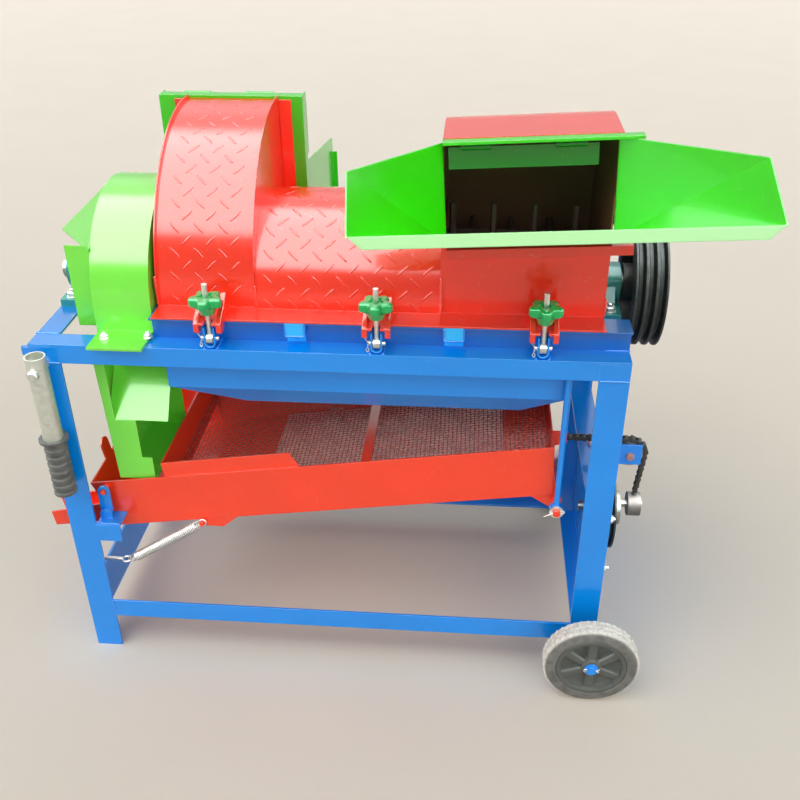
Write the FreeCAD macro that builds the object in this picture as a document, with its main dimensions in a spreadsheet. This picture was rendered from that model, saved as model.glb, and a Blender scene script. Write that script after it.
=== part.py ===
import FreeCAD, Part
import math
import os
import Sketcher
from types import SimpleNamespace

# A small threshing machine on a wheeled frame of angle iron.
# X runs along the rotor shaft, from the blower to the drive pulley.
# Y runs from the feeding side to the straw outlet. Z is up and the floor is at zero.
# The drawing is made from the outer corner of the front left leg. Every piece is
# then placed so that the part's origin is at the middle of its footprint.

doc = FreeCAD.newDocument("ThreshingMachine")
sheet = doc.addObject("Spreadsheet::Sheet", "Sizes")

# Driving dimensions, in millimetres and degrees. The names in FROM_TOP and FROM_RIGHT
# below are measured from the top and from the right end of the frame.
SIZES = dict(
    # frame
    frame_length=1000, frame_depth=450, frame_height=695,
    leg_width=50, leg_wall=5, right_foot=45,
    rail_width=40, rail_wall=4, rail_drop=35,
    low_rail_bottom=82, low_rail_height=40,
    left_tie_low=40, left_tie_high=135, right_tie_width=42,
    crank_rail_top=-265, crank_rail_width=41, crank_rail_drop=38, panel_wall=3,
    overrun=10, fit=0.05, running_gap=0.3, sheet_wall=2.5, round_share=1.02,
    # rotor shaft
    shaft_back=225, shaft_up=41, shaft_radius=17.5, shaft_left=-12, shaft_right=72,
    bearing_left=20, bearing_half_width=18, bearing_foot_half=80, bearing_foot=14,
    bearing_ring=36, bearing_cap=24, bearing_cap_depth=4, neck_low_share=1.5,
    neck_top_share=0.8, neck_rise_share=0.5,
    # lower casing
    casing_left=205, casing_right=-45, trough_radius=150, flange_wall=3,
    flange_front=25, web_wall=3, strap_width=31, strap_rise=22, grate_left=378,
    grate_gap=26, grate_bar=9, grate_ring=30, grate_bar_step=11.5, grate_half_bars=4,
    grate_reach_share=0.8, grate_top_share=0.5, shaft_hole=20,
    strap_left=450, strap_right=-287,
    # grain funnel
    funnel_left=218, funnel_right=-95, funnel_knee=-97, funnel_bottom=-142,
    funnel_mouth_left=346, funnel_mouth_right=-169, funnel_mouth_front=75,
    # cover
    cover_left=210, thrower_right=378, drum_right=-312, cover_right=-43,
    cover_front=24, cover_flange=3, thrower_radius=276, thrower_centre=350,
    thrower_back=375, thrower_floor=95, rim_rise=6, drum_radius=155,
    feed_front=75, feed_top=341, feed_arc=200, feed_mid=-176, feed_mid_up=255,
    feed_tilt=3, mouth_left=-308, mouth_right=-46, mouth_low=175, mouth_high=333,
    stay_right=-15, stay_low=151, stay_high=167, stay_depth=14,
    # hopper
    lip_left=-440, lip_right=160, lip_front=-100, lip_up=256, lip_fold=20,
    wing_top_left=-438, wing_top_right=138, wing_top_front=-55, wing_top_up=336,
    hopper_wall=2, mouth_bar_right=-10, mouth_bar_depth=18, mouth_bar_height=5,
    flap_left=-300, flap_right=-75, flap_drop=34, flap_knuckle=5.5,
    flap_knuckle_length=46, flap_first_hinge=-258, flap_second_hinge=-116,
    # outlet
    collar_left=157, collar_right=422, collar_low=93, collar_high=313, collar_depth=23,
    collar_bar=9, hood_drop=112, hood_pin=4, hood_knuckle=8, hood_knuckle_length=50,
    hood_first_hinge=221, hood_second_hinge=338, hood_wing=34,
    chute_back=705, chute_cheek_front=198, chute_cheek_back=154, chute_low=44,
    chute_lip=12, chute_lip_drop=30,
    # blower
    blower_left=103, blower_right=203, blower_radius=175, blower_wall=2,
    foot_front=-15, foot_wall=5, foot_left=107, foot_right=201, blower_eye=80,
    inlet_left=62, inlet_front=75, inlet_high=213, inlet_eave=141,
    inlet_reach=-6, inlet_tip_up=117, inlet_roof_front=72, inlet_panel_high=147,
    duct_left_top=81, duct_left_low=92, duct_right=200, duct_front=52, duct_back=250,
    duct_low=-308, duct_band=-260, duct_lip=-180, duct_top=-7, duct_step=141,
    duct_band_right=160, duct_low_right=164, duct_ramp_top=-55, duct_ramp_back=150,
    # rotor
    drum_left=392, drum_end=-58, drum_core=88, drum_wall=4, drum_hole=16, peg_radius=6,
    peg_tip=141, peg_rows=6, peg_count=8, peg_margin=28,
    paddle_left=218, paddle_right=370, paddle_tip=141, paddle_wall=6, rotor_hub=28,
    fan_left=112, fan_right=194, fan_tip=163, fan_wall=4, fan_hub=30, fan_blades=5,
    pulley_left=12, pulley_right=67, pulley_radius=110, pulley_hub=34,
    pulley_groove=13, pulley_pitch=17.5, pulley_slant=3.6, pulley_rim=78, pulley_web=14,
    pulley_hole=17, pulley_hole_circle=56, pulley_hub_left=4,
    # clamps
    clamp_first=312, clamp_second=-412, clamp_third=-143, clamp_back=10, clamp_pin_up=17,
    clamp_pin=4, clamp_bolt=4.5, clamp_eye=9, clamp_top=114, lug_gap=6, lug_wall=4,
    lug_front=1, lug_height=28, fork_half=17, fork_slot=6, fork_wall=5, fork_front=6,
    fork_ear=17, ear_wall=2.5, ear_front=13.6, bolt_start=7.2,
    knob_low=73, knob_high=95, knob_core=17, knob_lobe=9,
    knob_lobe_circle=20, knob_stem=11, knob_lobes=5, clamp_play=0.6,
    # screen tray
    tray_slope=8, tray_left=34, tray_up=-319, tray_front=45, tray_wall=3,
    tray_length=-131, tray_depth=102.6, tray_low_left=26, tray_low_right=-141,
    guard_left=150, guard_right=392, guard_rise=30, guard_slant=24, guard_wall=2.5,
    cross_bar_along=524, cross_bar_width=19, tab_front=125, tab_back=157, tab_rise=40,
    mesh_drop=24, mesh_wall=3, mesh_wire=3, mesh_across=23, mesh_along=12,
    spout_reach=110, spout_front=60, spout_width=52, spout_rise=45, spout_tip_share=0.7,
    ear_length=42, ear_side=14, ear_right=10.5, pin_reach=8,
    hanger_pin_across=-95, hanger_pin_drop=119.94, hanger_pin=7, hanger_top_up=-23,
    hanger_back=24, hanger_rod=5.5, hanger_eye=13, hanger_eye_half=6, hanger_top_pin=6,
    eye_bite=2,
    rocker_across=64, rocker_low=-370, rocker_high=-325, rocker_pin=5, rocker_half_wall=3,
    rocker_width=11, rocker_back=30, rocker_play=1.2,
    chain_lug_across=-75, chain_lug_drop=31.94, chain_lug_wall=6, chain_lug_height=22,
    # brackets
    stub_right=95, stub_low=-420, stub_high=-383, stub_depth=45, stub_lug_wall=6,
    handle_across=22, handle_up=-35, handle_back=-27, handle_radius=17.5,
    handle_wall=2.5, handle_length=170, handle_above=27, handle_bolt=6, bolt_head=10.2,
    bolt_shoulder=9.6,
    grip_length=117, grip_radius=20, grip_flange=25, grip_flange_wall=5, grip_ribs=7,
    grip_rib=1.6, rib_flat_share=0.35, rib_fall_share=0.5, rib_low_share=0.85,
    hook_left=-22, hook_front=12, hook_low=-31, hook_high=-15, hook_wall=5,
    # spring
    spring_back=40, spring_low_across=88, spring_low_up=-497, spring_high_across=242,
    spring_high_up=-398, spring_wire=1.5, spring_coil=9.5, spring_turns=24,
    spring_hook=6.5, eye_left=-18, eye_bolt=4, eye_ring=8, eye_ring_wire=2, eye_nut=7,
    eye_nut_radius=7.6,
    spring_lug_wall=5, spring_lug_low=-410, spring_lug_left=236, spring_lug_right=300,
    # crank and chain
    crank_back=130, crank_up=-387, crank_radius=10, crank_left=-42, crank_disc_left=27,
    crank_disc_right=35, crank_disc=33, crank_pin=7, crank_throw=10, crank_right=78,
    crank_bearing=26, crank_bearing_wall=8, crank_boss=17, crank_boss_left=-25,
    sheave_left=4.5, sheave_right=21, sheave_radius=78, sheave_groove=9,
    sheave_rim=62, sheave_web=6, sheave_hub=18, sheave_hole=9, sheave_hole_circle=42,
    ring_left=50, ring_right=74, ring_radius=23, ring_stud=5, ring_stud_top=-349, ring_bite=3,
    chain_pitch=12.7, chain_roller=4.2, chain_pin=2.2, chain_plate=5.2,
    chain_plate_wall=1.4, chain_inner=3.2, roller_across=41, roller_up=-259,
    roller_radius=24, roller_run=30, roller_pin=5, roller_half=8,
    roller_arm_wall=5, roller_arm_low=-277, roller_arm_high=-235, roller_arm_right=62,
    # wheels
    wheel_across=-14, wheel_radius=89, wheel_front=-80, wheel_width=40, axle_radius=8,
    axle_collar=13, tyre_inner=66, tyre_round=9, rim_inner=57, rim_wall=6, wheel_hub=17,
    spoke_width=13, spoke_wall=9, spokes=6, axle_cap=13, axle_end=8, wheel_play=0.8,
)

for row, (name, amount) in enumerate(SIZES.items(), start=1):
    sheet.set(f"A{row}", name)
    sheet.set(f"B{row}", str(amount))
    sheet.setAlias(f"B{row}", name)
doc.recompute()


class Size:
    """A number together with the sheet formula that gives it."""

    def __init__(self, value, text):
        self.value = value
        self.text = text

    def __add__(self, other):
        return joined(self, "+", other, self.value + value_of(other))

    def __radd__(self, other):
        return joined(other, "+", self, value_of(other) + self.value)

    def __sub__(self, other):
        return joined(self, "-", other, self.value - value_of(other))

    def __rsub__(self, other):
        return joined(other, "-", self, value_of(other) - self.value)

    def __mul__(self, other):
        return joined(self, "*", other, self.value * value_of(other))

    def __rmul__(self, other):
        return joined(other, "*", self, value_of(other) * self.value)

    def __truediv__(self, other):
        return joined(self, "/", other, self.value / value_of(other))

    def __neg__(self):
        return Size(-self.value, f"(0 - {self.text})")


def value_of(item):
    return item.value if isinstance(item, Size) else item


def text_of(item):
    return item.text if isinstance(item, Size) else f"({item})"


def joined(left, sign, right, value):
    return Size(value, f"({text_of(left)} {sign} {text_of(right)})")


def sine(angle):
    return Size(math.sin(math.radians(value_of(angle))), f"sin({text_of(angle)})")


def cosine(angle):
    return Size(math.cos(math.radians(value_of(angle))), f"cos({text_of(angle)})")


def root(item):
    return Size(math.sqrt(item.value), f"sqrt({item.text})")


s = SimpleNamespace(**{name: Size(float(sheet.get(name)), f"Sizes.{name}") for name in SIZES})
# Heights that the sheet gives from the top of the frame
FROM_TOP = """
    shaft_up thrower_floor feed_top feed_mid_up mouth_low mouth_high stay_low stay_high lip_up
    wing_top_up collar_low collar_high chute_cheek_front chute_cheek_back chute_low inlet_high
    inlet_eave inlet_tip_up inlet_panel_high clamp_pin_up clamp_top knob_low knob_high handle_up
    funnel_knee funnel_bottom duct_low duct_band duct_lip duct_top duct_ramp_top spring_low_up
    spring_high_up spring_lug_low tray_up hanger_top_up rocker_low rocker_high stub_low
    stub_high hook_low hook_high crank_up ring_stud_top roller_up roller_arm_low roller_arm_high
    crank_rail_top
""".split()
# Places along the machine that the sheet gives from the frame's right end
FROM_RIGHT = """
    casing_right strap_right funnel_right funnel_mouth_right drum_right cover_right feed_mid
    mouth_left mouth_right stay_right lip_left lip_right wing_top_left wing_top_right
    mouth_bar_right flap_left flap_right flap_first_hinge flap_second_hinge shaft_right drum_end
    pulley_left pulley_right pulley_hub_left clamp_second clamp_third tray_length tray_low_right
    hanger_pin_across chain_lug_across crank_left crank_disc_left crank_disc_right crank_right
    crank_boss_left sheave_left sheave_right ring_left ring_right roller_across roller_arm_right
    wheel_across
""".split()
for name in FROM_TOP:
    setattr(s, name, s.frame_height + getattr(s, name))
for name in FROM_RIGHT:
    setattr(s, name, s.frame_length + getattr(s, name))
ZERO = Size(0.0, "0")
NODES = {}
STARTS = {}
TURNS = {
    "x": FreeCAD.Rotation(FreeCAD.Vector(0, 1, 0), 90),
    "y": FreeCAD.Rotation(FreeCAD.Vector(1, 0, 0), -90),
    "z": FreeCAD.Rotation(),
}
PLANES = {"x": "YZ_Plane", "y": "XZ_Plane", "z": "XY_Plane"}
UPRIGHT = FreeCAD.Rotation()


def bind(item, prop, amount):
    """Tie a property to the sheet."""
    if isinstance(amount, Size):
        item.setExpression(prop, amount.text)


def place(item, start, turn=UPRIGHT, angle=None):
    """Put an object at a named place. An angle is a size that the turn follows."""
    STARTS[item.Name] = (start, turn, angle)
    item.Placement = FreeCAD.Placement(FreeCAD.Vector(*map(value_of, start)), turn)
    for letter, amount in zip("xyz", start):
        bind(item, f"Placement.Base.{letter}", amount)
    if angle is not None:
        bind(item, "Placement.Rotation.Angle", angle)
    return item


def node(name, item):
    """Name a finished sub-part and move it to the part's own origin."""
    start, turn, angle = STARTS.get(item.Name, ((0, 0, 0), UPRIGHT, None))
    place(item, tuple(a + b for a, b in zip(start, ORIGIN)), turn, angle)
    item.Label = name
    NODES[name] = item
    return item


def box(across, back, up):
    """A block between three pairs of limits."""
    item = doc.addObject("Part::Box", "Block")
    for prop, (low, high) in zip(("Length", "Width", "Height"), (across, back, up)):
        bind(item, prop, high - low)
    return place(item, (across[0], back[0], up[0]))


def rod(axis, start, radius, length):
    """A round bar that runs along an axis from its start."""
    item = doc.addObject("Part::Cylinder", "Rod")
    bind(item, "Radius", radius)
    bind(item, "Height", length)
    return place(item, start, TURNS[axis])


def fuse(*items):
    item = doc.addObject("Part::MultiFuse", "Joined")
    item.Shapes = list(items)
    item.Refine = True
    return item


def cut(base, *tools):
    item = doc.addObject("Part::Cut", "Trimmed")
    item.Base = base
    item.Tool = tools[0] if len(tools) == 1 else fuse(*tools)
    item.Refine = True
    return item


def common(first, second):
    item = doc.addObject("Part::MultiCommon", "Shared")
    item.Shapes = [first, second]
    item.Refine = True
    return item


def mirrored(item, axis, middle):
    """The same piece on the other side of a plane square to an axis."""
    other = doc.addObject("Part::Mirroring", "Mirrored")
    other.Source = item
    other.Normal = FreeCAD.Vector(axis == "x", axis == "y", axis == "z")
    other.Base = FreeCAD.Vector(*(middle.value * (axis == letter) for letter in "xyz"))
    bind(other, f"Base.{axis}", middle)
    return other


def copy_of(item):
    """The same piece in place, so that a mirrored twin can start from the original."""
    other = doc.addObject("Part::Compound", "Copy")
    other.Links = [item]
    return other


def both_sides(item):
    """A piece of the front together with its twin at the rear."""
    return fuse(item, mirrored(item, "y", s.frame_depth / 2))


def arc_between(first, second, radius):
    """A sketch arc. A negative radius turns clockwise."""
    start = FreeCAD.Vector(first[0], first[1], 0)
    end = FreeCAD.Vector(second[0], second[1], 0)
    half = (end - start) / 2
    side = FreeCAD.Vector(-half.y, half.x, 0).normalize()
    reach = math.sqrt(max(radius * radius - half.Length * half.Length, 0))
    centre = start + half + side * math.copysign(reach, radius)
    if radius < 0:
        start, end = end, start
    angles = [math.atan2(p.y - centre.y, p.x - centre.x) for p in (start, end)]
    circle = Part.Circle(centre, FreeCAD.Vector(0, 0, 1), abs(radius))
    return Part.ArcOfCircle(circle, *angles)


def draw(body, axis, outline, holes=()):
    """A fully fixed sketch. A third value of a point is the radius of the arc to it."""
    sketch = body.newObject("Sketcher::SketchObject", "Outline")
    planes = {part.Role: part for part in body.Origin.OriginFeatures}
    sketch.AttachmentSupport = [(planes[PLANES[axis]], "")]
    sketch.MapMode = "FlatFace"
    points = [tuple(map(value_of, point[:2])) for point in outline]
    ends = []
    for number, point in enumerate(outline):
        follower = outline[(number + 1) % len(outline)]
        here, there = points[number], points[(number + 1) % len(outline)]
        if len(follower) == 3:
            sketch.addGeometry(arc_between(here, there, value_of(follower[2])), False)
            ends.append((2, 1) if value_of(follower[2]) < 0 else (1, 2))
        else:
            line = Part.LineSegment(FreeCAD.Vector(*here, 0), FreeCAD.Vector(*there, 0))
            sketch.addGeometry(line, False)
            ends.append((1, 2))
    for number, point in enumerate(outline):
        before = (number - 1) % len(outline)
        link = Sketcher.Constraint("Coincident", before, ends[before][1], number, ends[number][0])
        sketch.addConstraint(link)
        fix(sketch, number, ends[number][0], point)
        if len(point) == 3:
            bend = sketch.addConstraint(Sketcher.Constraint("Radius", before, abs(value_of(point[2]))))
            positive = point[2] if value_of(point[2]) > 0 else -point[2]
            bind(sketch, f"Constraints[{bend}]", positive)
    for across, up, radius in holes:
        centre = FreeCAD.Vector(value_of(across), value_of(up), 0)
        circle = Part.Circle(centre, FreeCAD.Vector(0, 0, 1), radius.value)
        number = sketch.addGeometry(circle, False)
        fix(sketch, number, 3, (across, up))
        size_of = sketch.addConstraint(Sketcher.Constraint("Radius", number, radius.value))
        bind(sketch, f"Constraints[{size_of}]", radius)
    return sketch


def fix(sketch, number, end, point):
    """Hold a sketch point at its two distances from the sketch origin."""
    for kind, amount in zip(("DistanceX", "DistanceY"), point):
        rule = Sketcher.Constraint(kind, -1, 1, number, end, float(value_of(amount)))
        index = sketch.addConstraint(rule)
        bind(sketch, f"Constraints[{index}]", amount)


def prism(axis, outline, low, high, holes=()):
    """A plate or bar whose outline is square to an axis, between two places on it."""
    body = doc.addObject("PartDesign::Body", "Plate")
    sketch = draw(body, axis, outline, holes)
    pad = body.newObject("PartDesign::Pad", "Pad")
    pad.Profile = sketch
    pad.Reversed = axis == "y"
    bind(pad, "Length", high - low)
    body.Tip = pad
    return place(body, tuple(low if letter == axis else 0 for letter in "xyz"))


def turned(axis, outline, start):
    """A piece turned about an axis through its start. Points are distance along, radius."""
    body = doc.addObject("PartDesign::Body", "Turning")
    plane = {"x": "y", "y": "x", "z": "y"}[axis]
    if axis == "z":
        outline = [(point[1], point[0]) + tuple(point[2:]) for point in outline]
    sketch = draw(body, plane, outline)
    spin = body.newObject("PartDesign::Revolution", "Revolution")
    spin.Profile = sketch
    spin.ReferenceAxis = (sketch, ["V_Axis" if axis == "z" else "H_Axis"])
    spin.Angle = 360
    body.Tip = spin
    return place(body, start)


def rectangle(across, up):
    return [(across[0], up[0]), (across[1], up[0]), (across[1], up[1]), (across[0], up[1])]


def ring(low, high, inner, outer):
    """The outline of a plain turned sleeve."""
    return [(low, inner), (high, inner), (high, outer), (low, outer)]


def angle_iron(corner, across, up, width, height, wall):
    """The L section of an angle iron. Across and up are 1 or -1, away from the corner."""
    x, y = corner
    return [
        (x, y), (x + across * width, y), (x + across * width, y + up * wall),
        (x + across * wall, y + up * wall), (x + across * wall, y + up * height),
        (x, y + up * height),
    ]


def around(count, item, axis, start):
    """Copies of a piece at even steps round an axis, the first one in place."""
    copies = [item]
    for number in range(1, count):
        turn = doc.addObject("Part::Compound", "Turned")
        turn.Links = [item]
        spin = FreeCAD.Vector(axis == "x", axis == "y", axis == "z")
        angle = 360 / count * number
        centre = FreeCAD.Vector(*map(value_of, start))
        turn.Placement = FreeCAD.Placement(FreeCAD.Vector(), FreeCAD.Rotation(spin, angle), centre)
        follow_centre(turn, axis, start, angle)
        copies.append(turn)
    return copies


def follow_centre(item, axis, start, angle):
    """Keep a turned copy about its centre when the centre moves."""
    first, second = {"x": (1, 2), "y": (2, 0), "z": (0, 1)}[axis]
    a, b = start[first], start[second]
    c, d = math.cos(math.radians(angle)), math.sin(math.radians(angle))
    bind(item, f"Placement.Base.{'xyz'[first]}", a * (1 - c) + b * d)
    bind(item, f"Placement.Base.{'xyz'[second]}", b * (1 - c) - a * d)


def tray_point(along, rise):
    """Where a point of the tray's own drawing lies in the machine."""
    c, d = cosine(s.tray_slope), sine(s.tray_slope)
    return (s.tray_left + along * c - rise * d, s.tray_up + along * d + rise * c)


# The hanger pin and the chain lug are given from the height of the tray's right end
TRAY_END_UP = tray_point(s.tray_length, ZERO)[1]
s.hanger_pin_up = TRAY_END_UP - s.hanger_pin_drop
s.chain_lug_up = TRAY_END_UP - s.chain_lug_drop

# Places that several pieces share
RAIL_UNDER = s.frame_height - s.rail_wall
REAR = s.frame_depth
MIDDLE = s.frame_depth / 2
LEG_INNER = s.frame_length - s.leg_width
AXIS = (s.shaft_back, s.shaft_up)
COVER_SEAT = s.shaft_up
FLANGE_LOW = s.shaft_up - s.flange_wall
# The part's origin: the middle of what the spout, the hopper and the chute reach
SPOUT_TIP = tray_point(-s.spout_reach, s.spout_rise * s.spout_tip_share - s.tray_depth)[0]
HOPPER_TIP = s.feed_mid + (s.lip_right + s.hopper_wall - s.feed_mid) * cosine(s.feed_tilt)
ORIGIN = (-(SPOUT_TIP + HOPPER_TIP) / 2, -(s.lip_front + s.chute_back + s.sheet_wall) / 2, 0)


def legs():
    left = angle_iron((0, 0), 1, 1, s.leg_width, s.leg_width, s.leg_wall)
    front_left = prism("z", left, ZERO, RAIL_UNDER)
    _, up, _ = spring_line()
    bearing = s.spring_hook - s.spring_wire - s.eye_ring_wire - s.running_gap
    eye_hole = rod("x", (-s.overrun, s.spring_back, s.spring_low_up - up * bearing),
                   s.eye_bolt + s.fit, s.leg_wall + s.overrun * 2)
    pivot_hole = rod("y", (s.handle_across, -s.overrun, s.handle_up),
                     s.handle_bolt + s.fit, s.leg_wall + s.overrun * 2)
    drilled = cut(front_left, eye_hole, pivot_hole)
    rear_pivot = rod("y", (s.handle_across, -s.overrun, s.handle_up),
                     s.handle_bolt + s.fit, s.leg_wall + s.overrun * 2)
    rear_left = mirrored(cut(prism("z", left, ZERO, RAIL_UNDER), rear_pivot), "y", MIDDLE)
    node("left_legs", fuse(drilled, rear_left))
    right = angle_iron((s.frame_length, 0), -1, 1, s.leg_width, s.leg_width, s.leg_wall)
    bore = rod("y", (s.wheel_across, -s.overrun, s.wheel_radius),
               s.axle_radius + s.fit, s.leg_wall + s.overrun * 2)
    front_right = cut(prism("z", right, s.right_foot, RAIL_UNDER), bore)
    rear_right = mirrored(front_right, "y", MIDDLE)
    pair = fuse(front_right, rear_right)
    node("right_legs", pair)


def top_rails():
    section = angle_iron((0, s.frame_height), 1, -1, s.rail_width, s.rail_drop, s.rail_wall)
    long_rail = prism("x", section, ZERO, s.frame_length)
    ends = [
        box((low, high), (-s.overrun, s.leg_wall), (s.frame_height - s.rail_drop - s.overrun, RAIL_UNDER))
        for low, high in ((-s.overrun, s.leg_width), (LEG_INNER, s.frame_length + s.overrun))
    ]
    pin = rod("y", (s.hanger_pin_across, s.rail_wall, s.hanger_top_up),
              s.hanger_top_pin, s.rail_width - s.rail_wall * 2)
    node("top_long_rails", both_sides(fuse(cut(long_rail, *ends), pin)))
    cross = angle_iron((0, s.frame_height), 1, -1, s.rail_width, s.rail_drop, s.rail_wall)
    left = prism("y", cross, s.rail_width, REAR - s.rail_width)
    notches = [
        box((-s.overrun, s.leg_wall), (low, high), (s.frame_height - s.rail_drop - s.overrun, RAIL_UNDER))
        for low, high in ((s.rail_width, s.leg_width), (REAR - s.leg_width, REAR - s.rail_width))
    ]
    left = cut(left, *notches)
    node("top_cross_rails", fuse(left, mirrored(left, "x", s.frame_length / 2)))


def low_rails():
    section = angle_iron((0, s.low_rail_bottom), 1, 1, s.rail_width, s.low_rail_height, s.rail_wall)
    node("lower_long_rails", both_sides(prism("x", section, s.leg_width, LEG_INNER)))
    left = box((0, s.leg_wall), (s.leg_width, REAR - s.leg_width), (s.left_tie_low, s.left_tie_high))
    corner = (s.frame_length, s.low_rail_bottom)
    section = [
        corner, (s.frame_length - s.right_tie_width, s.low_rail_bottom),
        (s.frame_length - s.right_tie_width, s.low_rail_bottom + s.rail_wall),
        (s.frame_length - s.leg_wall, s.low_rail_bottom + s.rail_wall),
        (s.frame_length - s.leg_wall, s.low_rail_bottom + s.low_rail_height),
        (s.frame_length, s.low_rail_bottom + s.low_rail_height),
    ]
    right = prism("y", section, s.leg_width, REAR - s.leg_width)
    node("lower_cross_rails", fuse(left, right))


def crank_side():
    edge = s.frame_length - s.leg_wall - s.panel_wall
    section = angle_iron((edge, s.crank_rail_top), -1, -1, s.crank_rail_width,
                         s.crank_rail_drop, s.rail_wall)
    node("crank_rail", prism("y", section, s.leg_wall, REAR - s.leg_wall))
    panel = rectangle((s.leg_wall, REAR - s.leg_wall),
                      (s.low_rail_bottom + s.rail_wall, s.crank_rail_top))
    bore = [(s.crank_back, s.crank_up, s.crank_boss + s.running_gap)]
    node("side_panel", prism("x", panel, edge, edge + s.panel_wall, bore))


def brackets():
    stub = angle_iron((0, s.stub_high), 1, -1, s.stub_depth - s.running_gap,
                      s.stub_high - s.stub_low, s.rail_wall)
    stub = prism("x", stub, s.leg_width, s.stub_right)
    front = s.rocker_back - s.rocker_half_wall - s.running_gap
    lug = prism("y", [
        (s.rocker_across - s.rocker_width, s.stub_high), (s.rocker_across + s.rocker_width, s.stub_high),
        (s.rocker_across + s.rocker_width, s.rocker_low),
        (s.rocker_across - s.rocker_width, s.rocker_low, s.rocker_width * s.round_share),
    ], front - s.stub_lug_wall, front)
    pin = rod("y", (s.rocker_across, front - s.stub_lug_wall, s.rocker_low), s.rocker_pin,
              s.stub_lug_wall + s.rocker_half_wall * 2 + s.running_gap * 3)
    rocker_seats = both_sides(fuse(stub, lug, pin))
    arm = prism("y", [
        (s.frame_length, s.roller_arm_low), (s.roller_arm_right, s.roller_arm_low),
        (s.roller_arm_right, s.roller_arm_high), (s.frame_length, s.roller_arm_high),
    ], s.crank_back - s.roller_half - s.running_gap - s.roller_arm_wall,
        s.crank_back - s.roller_half - s.running_gap)
    far = s.crank_back + s.roller_half + s.running_gap
    other = prism("y", rectangle((s.frame_length, s.roller_arm_right),
                                 (s.roller_arm_low, s.roller_arm_high)), far, far + s.roller_arm_wall)
    edge = s.frame_length - s.leg_wall
    back_plate = box((edge, s.frame_length), (s.leg_width, far + s.roller_arm_wall),
                     (s.roller_arm_low, s.roller_arm_high))
    axle = rod("y", (s.roller_across, s.crank_back - s.roller_half * 2, s.roller_up), s.roller_pin,
               s.roller_half * 4)
    hook = prism("z", [
        (0, s.hook_front), (s.hook_left, s.hook_front + s.hook_wall),
        (s.hook_left, s.hook_front + s.hook_wall * 2), (0, s.hook_front + s.hook_wall * 3),
    ], s.hook_low, s.hook_high)
    node("frame_brackets", fuse(rocker_seats, hook))
    node("roller_bracket", fuse(arm, other, back_plate, axle))


def wheels():
    inner = s.wheel_front + s.wheel_width
    reach = s.wheel_front - s.axle_end
    axle = turned("y", [
        (reach, 0), (s.leg_wall, 0), (s.leg_wall, s.axle_radius), (0, s.axle_radius),
        (0, s.axle_collar), (inner + s.wheel_play, s.axle_collar),
        (inner + s.wheel_play, s.axle_radius),
        (s.wheel_front - s.wheel_play, s.axle_radius),
        (s.wheel_front - s.wheel_play, s.axle_cap),
        (s.wheel_front - s.wheel_play - s.rim_wall / 2, s.axle_cap),
        (s.wheel_front - s.wheel_play - s.rim_wall / 2, s.axle_radius), (reach, s.axle_radius),
    ], (s.wheel_across, 0, s.wheel_radius))
    node("wheel_axles", both_sides(axle))
    centre = (s.wheel_across, 0, s.wheel_radius)
    round_edge = s.tyre_round
    tyre = turned("y", [
        (s.wheel_front, s.tyre_inner), (inner, s.tyre_inner),
        (inner, s.wheel_radius - round_edge), (inner - round_edge, s.wheel_radius, round_edge),
        (s.wheel_front + round_edge, s.wheel_radius),
        (s.wheel_front, s.wheel_radius - round_edge, round_edge),
    ], centre)
    middle = s.wheel_front + s.wheel_width / 2
    band = turned("y", ring(s.wheel_front + s.rim_wall / 2, inner - s.rim_wall / 2,
                            s.rim_inner, s.tyre_inner - s.fit), centre)
    hub = turned("y", ring(s.wheel_front, inner, s.axle_radius + s.fit, s.wheel_hub), centre)
    spoke = box((s.wheel_across - s.spoke_width / 2, s.wheel_across + s.spoke_width / 2),
                (middle - s.spoke_wall / 2, middle + s.spoke_wall / 2),
                (s.wheel_radius + s.wheel_hub - s.rim_wall / 2,
                 s.wheel_radius + s.rim_inner + s.rim_wall / 2))
    rim = fuse(band, hub, *around(int(s.spokes.value), spoke, "y", centre))
    node("tyre_front", copy_of(tyre))
    node("rim_front", copy_of(rim))
    node("tyre_rear", mirrored(tyre, "y", MIDDLE))
    node("rim_rear", mirrored(rim, "y", MIDDLE))


def half_tube(left, right, inner, outer, upper):
    """Half of a round sheet about the shaft, above or below it."""
    whole = turned("x", ring(left, right, inner, outer), (0, *AXIS))
    reach = outer + s.overrun
    if upper:
        keep = (s.shaft_up, s.shaft_up + reach)
    else:
        keep = (s.shaft_up - reach, FLANGE_LOW)
    return common(whole, box((left, right), (s.shaft_back - reach, s.shaft_back + reach), keep))


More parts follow.
